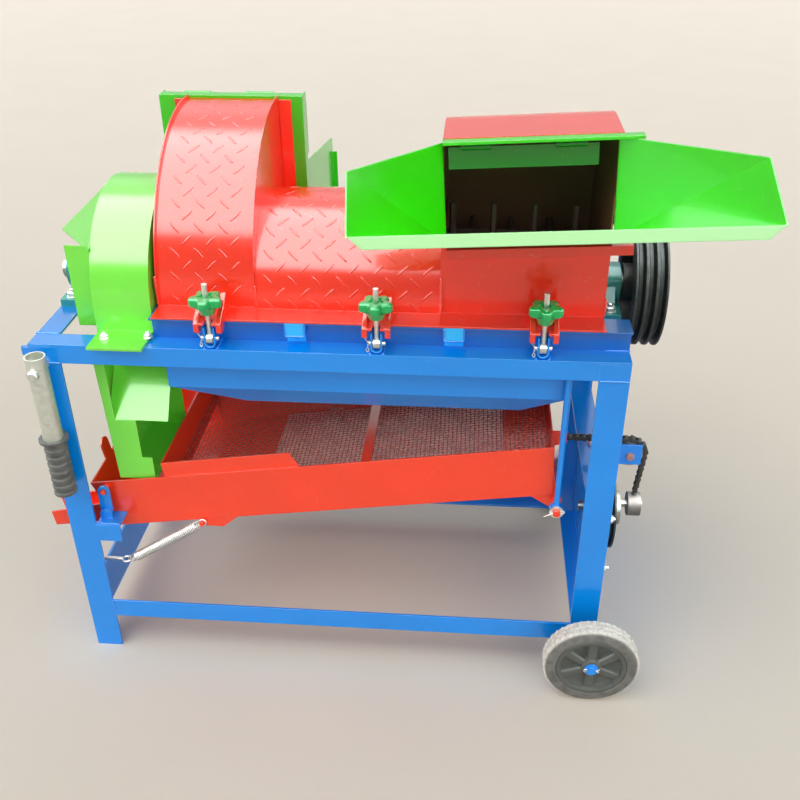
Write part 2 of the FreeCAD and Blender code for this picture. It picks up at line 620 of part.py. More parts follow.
def casing():
    outer = s.trough_radius + s.sheet_wall
    flange = box((s.casing_left, s.frame_length), (s.flange_front, s.shaft_back - s.trough_radius),
                 (FLANGE_LOW, COVER_SEAT))
    web = box((s.casing_left, s.frame_length), (s.rail_width, s.rail_width + s.web_wall),
              (s.frame_height, FLANGE_LOW))
    skirt = box((s.casing_left, s.casing_right), (s.rail_width, s.rail_width + s.web_wall),
                (RAIL_UNDER, s.frame_height))
    straps = [
        box((middle - s.strap_width / 2, middle + s.strap_width / 2),
            (s.flange_front, s.rail_width), (FLANGE_LOW - s.strap_rise, FLANGE_LOW))
        for middle in (s.strap_left, s.strap_right)
    ]
    side = both_sides(fuse(flange, web, skirt, *straps))
    trough = half_tube(s.casing_left, s.grate_left, s.trough_radius, outer, False)
    ends = []
    for left in (s.casing_left, s.casing_right - s.sheet_wall):
        plate = prism("x", [
            (s.rail_width + s.web_wall, RAIL_UNDER),
            (s.rail_width + s.web_wall, COVER_SEAT - s.flange_wall),
            (REAR - s.rail_width - s.web_wall, COVER_SEAT - s.flange_wall),
            (REAR - s.rail_width - s.web_wall, RAIL_UNDER),
            (s.shaft_back + outer, RAIL_UNDER),
            (s.shaft_back, s.shaft_up - outer, -outer),
            (s.shaft_back - outer, RAIL_UNDER, -outer),
        ], left, left + s.sheet_wall)
        ends.append(plate)
    bore = rod("x", (0, *AXIS), s.shaft_hole, s.frame_length)
    node("lower_casing", cut(fuse(side, trough, *ends), bore))
    grate()


def grate():
    outer = s.trough_radius + s.sheet_wall
    right = s.casing_right - s.sheet_wall
    shell = half_tube(s.grate_left, right, s.trough_radius, outer, False)
    step = (s.grate_gap + s.grate_bar) * 3
    count = int((right - s.grate_left - s.grate_ring).value // step.value)
    slots = []
    span = (right - s.grate_left - s.grate_ring) / count
    reach = s.trough_radius * s.grate_reach_share
    for number in range(count):
        left = s.grate_left + s.grate_ring + span * number
        slots.append(box((left, left + span - s.grate_ring), (s.shaft_back - reach, s.shaft_back + reach),
                         (s.shaft_up - outer - s.overrun,
                          s.shaft_up - s.trough_radius * s.grate_top_share)))
    open_shell = cut(shell, *slots)
    bars = []
    half = int(s.grate_half_bars.value)
    for number in range(-half, half + 1):
        angle = number * s.grate_bar_step.value
        bar = doc.addObject("Part::Box", "GrateBar")
        bind(bar, "Length", right - s.grate_left)
        bind(bar, "Width", s.grate_bar)
        bind(bar, "Height", s.sheet_wall)
        turn = FreeCAD.Rotation(FreeCAD.Vector(1, 0, 0), angle)
        c, d = math.cos(math.radians(angle)), math.sin(math.radians(angle))
        place(bar, (s.grate_left, s.shaft_back + outer * d - s.grate_bar / 2 * c,
                    s.shaft_up - outer * c - s.grate_bar / 2 * d), turn)
        bars.append(bar)
    node("concave_grate", fuse(open_shell, *bars))


def funnel():
    front = s.rail_width
    back = REAR - s.rail_width
    knee, bottom = s.funnel_knee, s.funnel_bottom
    outer = hopper_block(ZERO)
    inner = hopper_block(s.web_wall)
    upper = box((s.funnel_left, s.funnel_right), (front, back), (knee, RAIL_UNDER))
    room = box((s.funnel_left + s.web_wall, s.funnel_right - s.web_wall),
               (front + s.web_wall, back - s.web_wall), (knee - s.web_wall, RAIL_UNDER + s.overrun))
    clear = rod("x", (0, *AXIS), s.trough_radius + s.sheet_wall + s.running_gap, s.frame_length)
    node("grain_funnel", cut(fuse(upper, outer), room, inner, clear))


def hopper_block(inset):
    """The sloping lower half of the funnel, drawn in by a wall or not."""
    body = doc.addObject("PartDesign::Body", "Slope")
    loft = body.newObject("PartDesign::AdditiveLoft", "Loft")
    top = draw(body, "z", rectangle((s.funnel_left + inset, s.funnel_right - inset),
                                    (s.rail_width + inset, REAR - s.rail_width - inset)))
    low = draw(body, "z", rectangle((s.funnel_mouth_left + inset, s.funnel_mouth_right - inset),
                                    (s.funnel_mouth_front + inset, REAR - s.funnel_mouth_front - inset)))
    bind(low, "AttachmentOffset.Base.z", s.funnel_bottom - s.funnel_knee)
    loft.Profile = top
    loft.Sections = [low]
    loft.Ruled = True
    body.Tip = loft
    return place(body, (0, 0, s.funnel_knee))


def cover_flange(left, right, reach):
    front = box((left, right), (s.cover_front, reach), (COVER_SEAT, COVER_SEAT + s.cover_flange))
    return both_sides(front)


def thrower():
    wall = s.sheet_wall
    top = s.shaft_up + s.thrower_radius

    def side(inset):
        front = s.thrower_centre - s.thrower_radius + inset
        return [
            (front, COVER_SEAT, s.thrower_radius - inset), (s.thrower_back - inset, COVER_SEAT),
            (s.thrower_back - inset, top - inset), (s.thrower_centre, top - inset),
        ]

    outer = prism("x", side(ZERO), s.cover_left, s.thrower_right)
    inner = prism("x", side(wall), s.cover_left + wall, s.thrower_right - wall)
    clear_back = box((s.cover_left + wall, s.thrower_right - wall),
                     (s.thrower_back - s.overrun, s.thrower_back + s.overrun),
                     (s.thrower_floor + wall, top - wall))
    clear_low = box((s.cover_left + wall, s.thrower_right - wall),
                    (s.shaft_back - s.trough_radius, s.shaft_back + s.trough_radius - wall),
                    (COVER_SEAT - s.overrun, COVER_SEAT + s.overrun))
    rims = []
    for left in (s.cover_left, s.thrower_right - wall):
        rims.append(prism("x", [
            (s.thrower_centre - s.thrower_radius - s.rim_rise, COVER_SEAT + s.cover_flange),
            (s.thrower_centre - s.thrower_radius + wall, COVER_SEAT + s.cover_flange),
            (s.thrower_centre - s.thrower_radius + wall, s.shaft_up + wall),
            (s.thrower_centre, top - wall, -s.thrower_radius),
            (s.thrower_back, top - wall), (s.thrower_back, top + s.rim_rise),
            (s.thrower_centre, top + s.rim_rise),
            (s.thrower_centre - s.thrower_radius - s.rim_rise, s.shaft_up + wall,
             s.thrower_radius + s.rim_rise),
        ], left, left + wall))
    passage = rod("x", (s.thrower_right - wall - s.overrun, *AXIS), s.shaft_back - s.feed_front - wall * 2,
                  s.overrun * 2)
    bore = rod("x", (s.cover_left - s.overrun, *AXIS), s.shaft_hole, s.overrun * 2)
    shell = fuse(outer, cover_flange(s.cover_left, s.thrower_right, s.feed_front + wall), *rims)
    node("thrower_housing", cut(shell, inner, clear_back, clear_low, passage, bore))


def drum_cover():
    left, right = s.thrower_right, s.drum_right
    arch = half_tube(left, right, s.drum_radius - s.sheet_wall, s.drum_radius, True)
    reach = s.shaft_back - s.drum_radius + s.sheet_wall / 2
    node("drum_cover", fuse(arch, cover_flange(left, right, reach)))


def feed_profile(inset, low):
    front = s.feed_front + inset
    back = REAR - s.feed_front - inset
    knee = s.feed_top - s.feed_arc
    return [
        (front, low), (back, low), (back, knee),
        (back - s.feed_arc + inset, s.feed_top - inset, s.feed_arc - inset),
        (front, s.feed_top - inset),
    ]


def tilted(item):
    """Turn a piece that was drawn level about the middle of the feed mouth."""
    carrier = doc.addObject("Part::Compound", "Tilted")
    carrier.Links = [item]
    turn = FreeCAD.Rotation(FreeCAD.Vector(0, -1, 0), s.feed_tilt.value)
    c, d = cosine(s.feed_tilt), sine(s.feed_tilt)
    start = (
        s.feed_mid - s.feed_mid * c + s.feed_mid_up * d, ZERO,
        s.feed_mid_up - s.feed_mid * d - s.feed_mid_up * c,
    )
    return place(carrier, start, turn, s.feed_tilt)


def feed_box():
    wall = s.sheet_wall
    margin = s.overrun * 5
    left, right = s.drum_right, s.cover_right
    low = COVER_SEAT - margin
    outer = tilted(prism("x", feed_profile(ZERO, low), left - margin, right + margin))
    inner = tilted(prism("x", feed_profile(wall, low), left - margin, right + margin))
    room = (COVER_SEAT, s.feed_top + margin)
    outer = common(outer, box((left, right), (0, REAR), room))
    inner = common(inner, box((left + wall, right - wall), (0, REAR),
                              (COVER_SEAT - s.overrun, s.feed_top + margin)))
    mouth = tilted(box((s.mouth_left, s.mouth_right),
                       (s.feed_front - s.overrun, s.feed_front + wall + s.overrun),
                       (s.mouth_low, s.mouth_high)))
    passage = rod("x", (left - s.overrun, *AXIS), s.shaft_back - s.feed_front - wall * 2, s.overrun * 2)
    bore = rod("x", (right - s.overrun, *AXIS), s.shaft_hole, s.overrun * 2)
    shell = fuse(outer, cover_flange(left, right, s.feed_front + wall))
    stay = tilted(box((s.mouth_left, s.stay_right), (s.feed_front - s.stay_depth, s.feed_front),
                      (s.stay_low, s.stay_high)))
    node("feed_box", fuse(cut(shell, inner, mouth, passage, bore), stay))


def hopper():
    wall = s.hopper_wall
    inner_left, inner_right = s.mouth_left, s.mouth_right
    front = s.lip_front
    back = s.feed_front
    fold = s.lip_fold
    floor = Part.makePolygon([
        point(s.lip_left - wall, front, s.lip_up), point(s.lip_right + wall, front, s.lip_up),
        point(inner_right + wall, back, s.mouth_low), point(inner_left - wall, back, s.mouth_low),
        point(s.lip_left - wall, front, s.lip_up),
    ])
    down = FreeCAD.Vector(0, 0, -wall.value)
    pieces = [Part.Face(floor).extrude(down)]
    for lip, top, mouth in (
        (s.lip_left, s.wing_top_left, inner_left), (s.lip_right, s.wing_top_right, inner_right),
    ):
        first = Part.Face(Part.makePolygon([
            point(lip, front, s.lip_up), point(mouth, back, s.mouth_low),
            point(top, s.wing_top_front, s.wing_top_up), point(lip, front, s.lip_up),
        ]))
        second = Part.Face(Part.makePolygon([
            point(mouth, back, s.mouth_low), point(mouth, back, s.mouth_high + wall),
            point(top, s.wing_top_front, s.wing_top_up), point(mouth, back, s.mouth_low),
        ]))
        outward = FreeCAD.Vector(math.copysign(wall.value, lip.value - mouth.value), 0, 0)
        pieces += [first.extrude(outward), second.extrude(outward)]
    strip = Part.Face(Part.makePolygon([
        point(s.lip_left, front, s.lip_up), point(s.lip_right, front, s.lip_up),
        point(s.lip_right - fold, front, s.lip_up - fold), point(s.lip_left + fold, front, s.lip_up - fold),
        point(s.lip_left, front, s.lip_up),
    ])).extrude(FreeCAD.Vector(0, wall.value, 0))
    bar = Part.makeBox(
        s.mouth_bar_right.value - inner_left.value, s.mouth_bar_depth.value, s.mouth_bar_height.value,
        point(inner_left, back - s.mouth_bar_depth, s.mouth_high + wall),
    )
    whole = pieces[0].fuse(pieces[1:] + [strip, bar])
    item = doc.addObject("Part::Feature", "Hopper")
    item.Shape = whole
    node("hopper", tilted(item))
    hopper_flap()


def point(across, back, up):
    return FreeCAD.Vector(value_of(across), value_of(back), value_of(up))


def hopper_flap():
    hinge = (s.feed_front - s.flap_knuckle - s.running_gap,
             s.mouth_high + s.hopper_wall - s.flap_knuckle - s.running_gap)
    plate = box((s.flap_left, s.flap_right), (hinge[0] - s.hopper_wall / 2, hinge[0] + s.hopper_wall / 2),
                (hinge[1] - s.flap_drop, hinge[1]))
    knuckles = [
        rod("x", (middle - s.flap_knuckle_length / 2, *hinge), s.flap_knuckle, s.flap_knuckle_length)
        for middle in (s.flap_first_hinge, s.flap_second_hinge)
    ]
    node("hopper_flap", tilted(fuse(plate, *knuckles)))


def outlet():
    wall = s.sheet_wall
    front, back = s.thrower_back, s.thrower_back + s.collar_depth
    outer = box((s.collar_left, s.collar_right), (front, back), (s.collar_low, s.collar_high))
    inner = box((s.collar_left + wall, s.collar_right - wall), (front + wall, back + s.overrun),
                (s.collar_low + wall, s.collar_high - wall))
    window = box((s.cover_left + wall, s.thrower_right - wall), (front - s.overrun, front + s.overrun),
                 (s.thrower_floor + wall, s.shaft_up + s.thrower_radius - wall))
    bar = box((s.collar_left, s.collar_right), (front, back), (s.collar_high, s.collar_high + s.collar_bar))
    pin_at = (back + s.hood_knuckle + s.running_gap, s.collar_high + s.collar_bar - s.hood_knuckle)
    pin = rod("x", (s.collar_left, *pin_at), s.hood_pin, s.collar_right - s.collar_left)
    ears = [
        box((left, left + wall), (back, pin_at[0] + s.hood_pin),
            (s.collar_high + s.collar_bar - s.hood_knuckle * 2, s.collar_high + s.collar_bar))
        for left in (s.collar_left, s.collar_right - wall)
    ]
    notch = rod("x", (s.blower_left, *AXIS), s.blower_radius + s.running_gap,
                s.blower_right + s.running_gap - s.blower_left)
    node("outlet_collar", fuse(cut(fuse(outer, bar), inner, window, notch), pin, *ears))
    plate = box((s.collar_left + wall * 2, s.collar_right - wall * 2),
                (pin_at[0] - wall / 2, pin_at[0] + wall / 2), (pin_at[1] - s.hood_drop, pin_at[1]))
    knuckles = [
        rod("x", (middle - s.hood_knuckle_length / 2, *pin_at), s.hood_knuckle, s.hood_knuckle_length)
        for middle in (s.hood_first_hinge, s.hood_second_hinge)
    ]
    wings = [
        box((left, left + wall), (pin_at[0], pin_at[0] + s.hood_wing),
            (pin_at[1] - s.hood_drop, pin_at[1] - s.hood_knuckle * 2))
        for left in (s.collar_left + wall * 2, s.collar_right - wall * 3)
    ]
    bore = rod("x", (s.collar_left, *pin_at), s.hood_pin + s.fit, s.collar_right - s.collar_left)
    node("outlet_hood", cut(fuse(plate, *knuckles, *wings), bore))
    chute(back)


def chute(back):
    wall = s.sheet_wall
    floor = prism("x", [
        (back, s.collar_low), (s.chute_back, s.chute_low), (s.chute_back, s.chute_low + wall),
        (back, s.collar_low + wall),
    ], s.collar_left, s.collar_right)
    cheeks = [
        prism("x", [
            (back, s.collar_low), (s.chute_back, s.chute_low), (s.chute_back, s.chute_cheek_back),
            (back, s.chute_cheek_front),
        ], left, left + wall)
        for left in (s.collar_left, s.collar_right - wall)
    ]
    strips = [
        box((left, left + s.chute_lip), (s.chute_back, s.chute_back + wall),
            (s.chute_low, s.chute_cheek_back - s.chute_lip_drop))
        for left in (s.collar_left - s.chute_lip + wall, s.collar_right - wall)
    ]
    node("outlet_chute", fuse(floor, *cheeks, *strips))


def blower():
    wall = s.blower_wall
    reach = s.blower_radius
    outline = [
        (s.shaft_back + reach, RAIL_UNDER), (s.shaft_back + reach, s.shaft_up),
        (s.shaft_back, s.shaft_up + reach, reach), (s.shaft_back - reach, s.shaft_up, reach),
        (s.shaft_back - reach, RAIL_UNDER),
    ]
    inset = reach - wall
    room = [
        (s.shaft_back + inset, RAIL_UNDER - s.overrun), (s.shaft_back + inset, s.shaft_up),
        (s.shaft_back, s.shaft_up + inset, inset), (s.shaft_back - inset, s.shaft_up, inset),
        (s.shaft_back - inset, RAIL_UNDER - s.overrun),
    ]
    shell = prism("x", outline, s.blower_left, s.blower_right)
    inner = prism("x", room, s.blower_left + wall, s.blower_right - wall)
    scroll = turned("x", ring(s.blower_left, s.blower_right, 0, reach), (0, *AXIS))
    below = box((s.blower_left, s.blower_right), (0, REAR), (s.shaft_up - reach - s.overrun, RAIL_UNDER))
    belly = common(scroll, below)
    belly_room = turned("x", ring(s.blower_left + wall, s.blower_right - wall, 0, inset), (0, *AXIS))
    foot = box((s.foot_left, s.foot_right), (s.foot_front, s.shaft_back - reach),
               (s.frame_height, s.frame_height + s.foot_wall))
    eye = rod("x", (s.blower_left - s.overrun, *AXIS), s.blower_eye, s.overrun * 2)
    bore = rod("x", (s.blower_right - s.overrun, *AXIS), s.shaft_hole, s.overrun * 2)
    mouth = box((s.blower_left + wall, s.blower_right - wall),
                (s.duct_front + s.panel_wall, s.duct_back - s.panel_wall),
                (s.shaft_up - reach - s.overrun, RAIL_UNDER))
    whole = fuse(shell, belly, both_sides(foot))
    node("blower_housing", cut(whole, inner, belly_room, eye, bore, mouth))
    inlet()
    duct()


def inlet():
    """Two panels beside the fan eye under a folded tent roof that is open to the left."""
    wall = s.blower_wall
    right = s.blower_left
    panel = box((s.inlet_left, right), (s.inlet_front, s.inlet_front + wall),
                (s.frame_height, s.inlet_panel_high))
    ridge = point(right, s.shaft_back, s.inlet_high)
    tip = point(s.inlet_reach, s.shaft_back, s.inlet_tip_up)
    eave = point(right, s.inlet_roof_front, s.inlet_eave)
    facet = doc.addObject("Part::Feature", "Facet")
    facet.Shape = Part.Face(Part.makePolygon([ridge, tip, eave, ridge])).extrude(point(0, 0, -wall))
    panels = both_sides(panel)
    roof = both_sides(facet)
    under = doc.addObject("Part::Feature", "UnderRoof")
    corners = [ridge, tip, eave, ridge]
    under.Shape = Part.Face(Part.makePolygon(corners)).extrude(point(0, 0, s.overrun * 10))
    node("blower_inlet", fuse(cut(panels, both_sides(under)), roof))


def duct():
    wall = s.blower_wall
    lean = [
        (s.duct_left_low, s.duct_low), (s.duct_low_right, s.duct_low), (s.duct_low_right, s.duct_lip),
        (s.duct_right, s.duct_lip), (s.duct_right, s.duct_top), (s.duct_left_top, s.duct_top),
    ]
    room = [
        (s.duct_left_low + wall, s.duct_low + wall), (s.duct_right + s.overrun, s.duct_low + wall),
        (s.duct_right + s.overrun, s.duct_top + s.overrun), (s.duct_left_top + wall, s.duct_top + s.overrun),
    ]
    outer = prism("y", lean, s.duct_front, s.duct_back)
    inner = prism("y", room, s.duct_front + wall, s.duct_back - wall)
    window = box((s.duct_step, s.duct_right + s.overrun),
                 (s.duct_front - s.overrun, s.duct_front + wall + s.overrun),
                 (s.duct_band, s.duct_lip))
    low_window = box((s.duct_band_right, s.duct_right + s.overrun),
                     (s.duct_front - s.overrun, s.duct_front + wall + s.overrun),
                     (s.duct_low + wall, s.duct_band + s.overrun))
    clear = rod("x", (0, *AXIS), s.blower_radius + s.running_gap, s.frame_length)
    upper_front = box((s.duct_left_low + s.overrun, s.duct_right + s.overrun),
                      (s.duct_front - s.overrun, s.duct_front + wall), (s.duct_lip, s.duct_top + s.overrun))
    ramp = prism("x", [
        (s.duct_front, s.duct_lip - wall), (s.duct_front + wall * 2, s.duct_lip - wall),
        (s.duct_ramp_back + wall * 2, s.duct_ramp_top), (s.duct_ramp_back, s.duct_ramp_top),
    ], s.duct_left_low, s.duct_right)
    body = cut(fuse(cut(outer, inner), ramp), window, low_window, upper_front, clear)
    node("air_duct", body)


def rotor():
    length = s.shaft_right - s.shaft_left
    node("main_shaft", rod("x", (s.shaft_left, *AXIS), s.shaft_radius, length))
    bore = s.shaft_radius + s.fit
    start = (0, *AXIS)
    inside = s.drum_core - s.drum_wall
    core = [
        turned("x", ring(s.drum_left, s.drum_end, inside, s.drum_core), start),
        turned("x", ring(s.drum_left, s.drum_end, bore, s.rotor_hub), start),
    ]
    core += [
        turned("x", ring(left, left + s.drum_wall, bore, s.drum_core - s.drum_wall / 2), start)
        for left in (s.drum_left, s.drum_end - s.drum_wall)
    ]
    hole = rod("x", (s.drum_left - s.overrun, s.shaft_back, s.shaft_up + (s.rotor_hub + inside) / 2),
               s.drum_hole, s.drum_end - s.drum_left + s.overrun * 2)
    pegs = []
    rows, count = int(s.peg_rows.value), int(s.peg_count.value)
    step = (s.drum_end - s.drum_left - s.peg_margin * 2) / (count - 1)
    for row in range(rows):
        angle = 360 / rows * row
        c, d = math.cos(math.radians(angle)), math.sin(math.radians(angle))
        for number in range(count - row % 2):
            peg = doc.addObject("Part::Prism", "Peg")
            peg.Polygon = 6
            bind(peg, "Circumradius", s.peg_radius)
            bind(peg, "Height", s.peg_tip - inside)
            across = s.drum_left + s.peg_margin + step * (number + row % 2 / 2)
            turn = FreeCAD.Rotation(FreeCAD.Vector(1, 0, 0), -angle)
            place(peg, (across, s.shaft_back + inside * d, s.shaft_up + inside * c), turn)
            pegs.append(peg)
    drum = cut(fuse(*core), *around(4, hole, "x", start))
    node("threshing_drum", fuse(drum, *pegs))
    node("thrower_paddles", bladed(s.paddle_left, s.paddle_right, s.rotor_hub, s.paddle_tip,
                                   s.paddle_wall, 4))
    node("fan_impeller", bladed(s.fan_left, s.fan_right, s.fan_hub, s.fan_tip, s.fan_wall,
                                int(s.fan_blades.value)))
    main_bearings()
    drive_pulley()


def bladed(left, right, hub, tip, wall, count):
    """A hub on the shaft with flat blades."""
    sleeve = turned("x", ring(left, right, s.shaft_radius + s.fit, hub), (0, *AXIS))
    blade = box((left, right), (s.shaft_back - wall / 2, s.shaft_back + wall / 2),
                (s.shaft_up + hub - wall, s.shaft_up + tip))
    return fuse(sleeve, *around(count, blade, "x", (0, *AXIS)))


def main_bearings():
    blocks = []
    neck_top = s.shaft_up + s.bearing_ring * s.neck_rise_share
    for middle in (s.bearing_left, s.frame_length - s.bearing_left):
        half = s.bearing_half_width
        foot = box((middle - half, middle + half), (s.shaft_back - s.bearing_foot_half,
                   s.shaft_back + s.bearing_foot_half), (s.frame_height, s.frame_height + s.bearing_foot))
        house = turned("x", [
            (middle - half - s.bearing_cap_depth, s.shaft_radius + s.fit),
            (middle + half + s.bearing_cap_depth, s.shaft_radius + s.fit),
            (middle + half + s.bearing_cap_depth, s.bearing_cap), (middle + half, s.bearing_cap),
            (middle + half, s.bearing_ring), (middle - half, s.bearing_ring),
            (middle - half, s.bearing_cap), (middle - half - s.bearing_cap_depth, s.bearing_cap),
        ], (0, *AXIS))
        neck = prism("x", [
            (s.shaft_back - s.bearing_ring * s.neck_low_share, s.frame_height + s.bearing_foot),
            (s.shaft_back + s.bearing_ring * s.neck_low_share, s.frame_height + s.bearing_foot),
            (s.shaft_back + s.bearing_ring * s.neck_top_share, neck_top),
            (s.shaft_back - s.bearing_ring * s.neck_top_share, neck_top),
        ], middle - half / 2, middle + half / 2)
        bore = rod("x", (middle - half * 2, *AXIS), s.shaft_radius + s.fit, half * 4)
        blocks.append(cut(fuse(foot, house, neck), bore))
    node("main_bearings", fuse(*blocks))


def drive_pulley():
    left, right = s.pulley_left, s.pulley_right
    outline = [(left, s.pulley_rim), (left, s.pulley_radius)]
    edge = (right - left - s.pulley_pitch * 3) / 2
    for number in range(3):
        start = left + edge + s.pulley_pitch * number
        gap = (s.pulley_pitch - s.pulley_groove) / 2
        low = s.pulley_radius - s.pulley_groove
        slant = s.pulley_slant
        outline += [
            (start + gap, s.pulley_radius), (start + gap + slant, low),
            (start + s.pulley_pitch - gap - slant, low), (start + s.pulley_pitch - gap, s.pulley_radius),
        ]
    middle = (left + right) / 2
    half = s.pulley_web / 2
    outline += [
        (right, s.pulley_radius), (right, s.pulley_rim), (middle + half, s.pulley_rim),
        (middle + half, s.pulley_hub), (right, s.pulley_hub), (right, s.shaft_radius + s.fit),
        (s.pulley_hub_left, s.shaft_radius + s.fit), (s.pulley_hub_left, s.pulley_hub),
        (middle - half, s.pulley_hub), (middle - half, s.pulley_rim),
    ]
    wheel = turned("x", outline, (0, *AXIS))
    hole = rod("x", (left, s.shaft_back, s.shaft_up + s.pulley_hole_circle), s.pulley_hole, right - left)
    node("drive_pulley", cut(wheel, *around(4, hole, "x", (0, *AXIS))))


def clamps():
    lugs, forks = [], []
    seat = COVER_SEAT + s.cover_flange
    for number, across in enumerate((s.clamp_first, s.clamp_second, s.clamp_third), start=1):
        for side in (-1, 1):
            low = across + side * (s.lug_gap + s.lug_wall / 2) - s.lug_wall / 2
            lugs.append(prism("x", [
                (s.lug_front, s.frame_height), (s.rail_width, s.frame_height),
                (s.rail_width, s.frame_height + s.lug_height),
                (s.clamp_back + s.clamp_eye, s.frame_height + s.lug_height),
                (s.lug_front, s.clamp_pin_up),
            ], low, low + s.lug_wall))
        lugs.append(rod("x", (across - s.lug_gap - s.lug_wall, s.clamp_back, s.clamp_pin_up),
                        s.clamp_pin, (s.lug_gap + s.lug_wall) * 2))
        plate = prism("z", [
            (across - s.fork_half, s.cover_front + s.fork_ear), (across - s.fork_half, s.fork_front),
            (across - s.fork_slot, s.fork_front), (across - s.fork_slot, s.clamp_back + s.fork_slot),
            (across + s.fork_slot, s.clamp_back + s.fork_slot), (across + s.fork_slot, s.fork_front),
            (across + s.fork_half, s.fork_front), (across + s.fork_half, s.cover_front + s.fork_ear),
        ], seat, seat + s.fork_wall)
        forks.append(plate)
        for side in (-1, 1):
            low = across + side * (s.fork_half - s.ear_wall / 2) - s.ear_wall / 2
            forks.append(prism("x", [
                (s.fork_front, seat + s.fork_wall), (s.cover_front + s.fork_ear, seat + s.fork_wall),
                (s.cover_front + s.fork_ear / 2, seat + s.fork_ear), (s.fork_front, seat + s.ear_front),
            ], low, low + s.ear_wall))
        node(f"swing_bolt_{number}", swing_bolt(across))
        node(f"clamp_knob_{number}", clamp_knob(across, seat + s.fork_wall + s.running_gap))
    node("clamp_lugs", fuse(*lugs))
    node("clamp_forks", fuse(*forks))


def swing_bolt(across):
    half = s.lug_gap - s.clamp_play
    eye = turned("x", ring(across - half, across + half, s.clamp_pin + s.fit, s.clamp_eye),
                 (0, s.clamp_back, s.clamp_pin_up))
    low = s.clamp_pin_up + s.bolt_start
    return fuse(eye, rod("z", (across, s.clamp_back, low), s.clamp_bolt, s.clamp_top - low))


def clamp_knob(across, seat):
    bore = s.clamp_bolt + s.fit
    centre = (across, s.clamp_back, 0)
    core = turned("z", [
        (seat, bore), (s.knob_high, bore), (s.knob_high, s.knob_core), (s.knob_low, s.knob_core),
        (s.knob_low - s.knob_lobe / 2, s.knob_stem), (seat, s.knob_stem),
    ], centre)
    lobe = rod("z", (across, s.clamp_back + s.knob_lobe_circle, s.knob_low), s.knob_lobe,
               s.knob_high - s.knob_low)
    clear = rod("z", (across, s.clamp_back, seat), bore, s.knob_high - seat)
    return cut(fuse(core, *around(int(s.knob_lobes.value), lobe, "z", centre)), clear)


def sloped(item):
    """Lay a piece drawn along the tray on the tray's slope."""
    carrier = doc.addObject("Part::Compound", "Sloped")
    carrier.Links = [item]
    turn = FreeCAD.Rotation(FreeCAD.Vector(0, -1, 0), s.tray_slope.value)
    return place(carrier, (s.tray_left, ZERO, s.tray_up), turn, s.tray_slope)


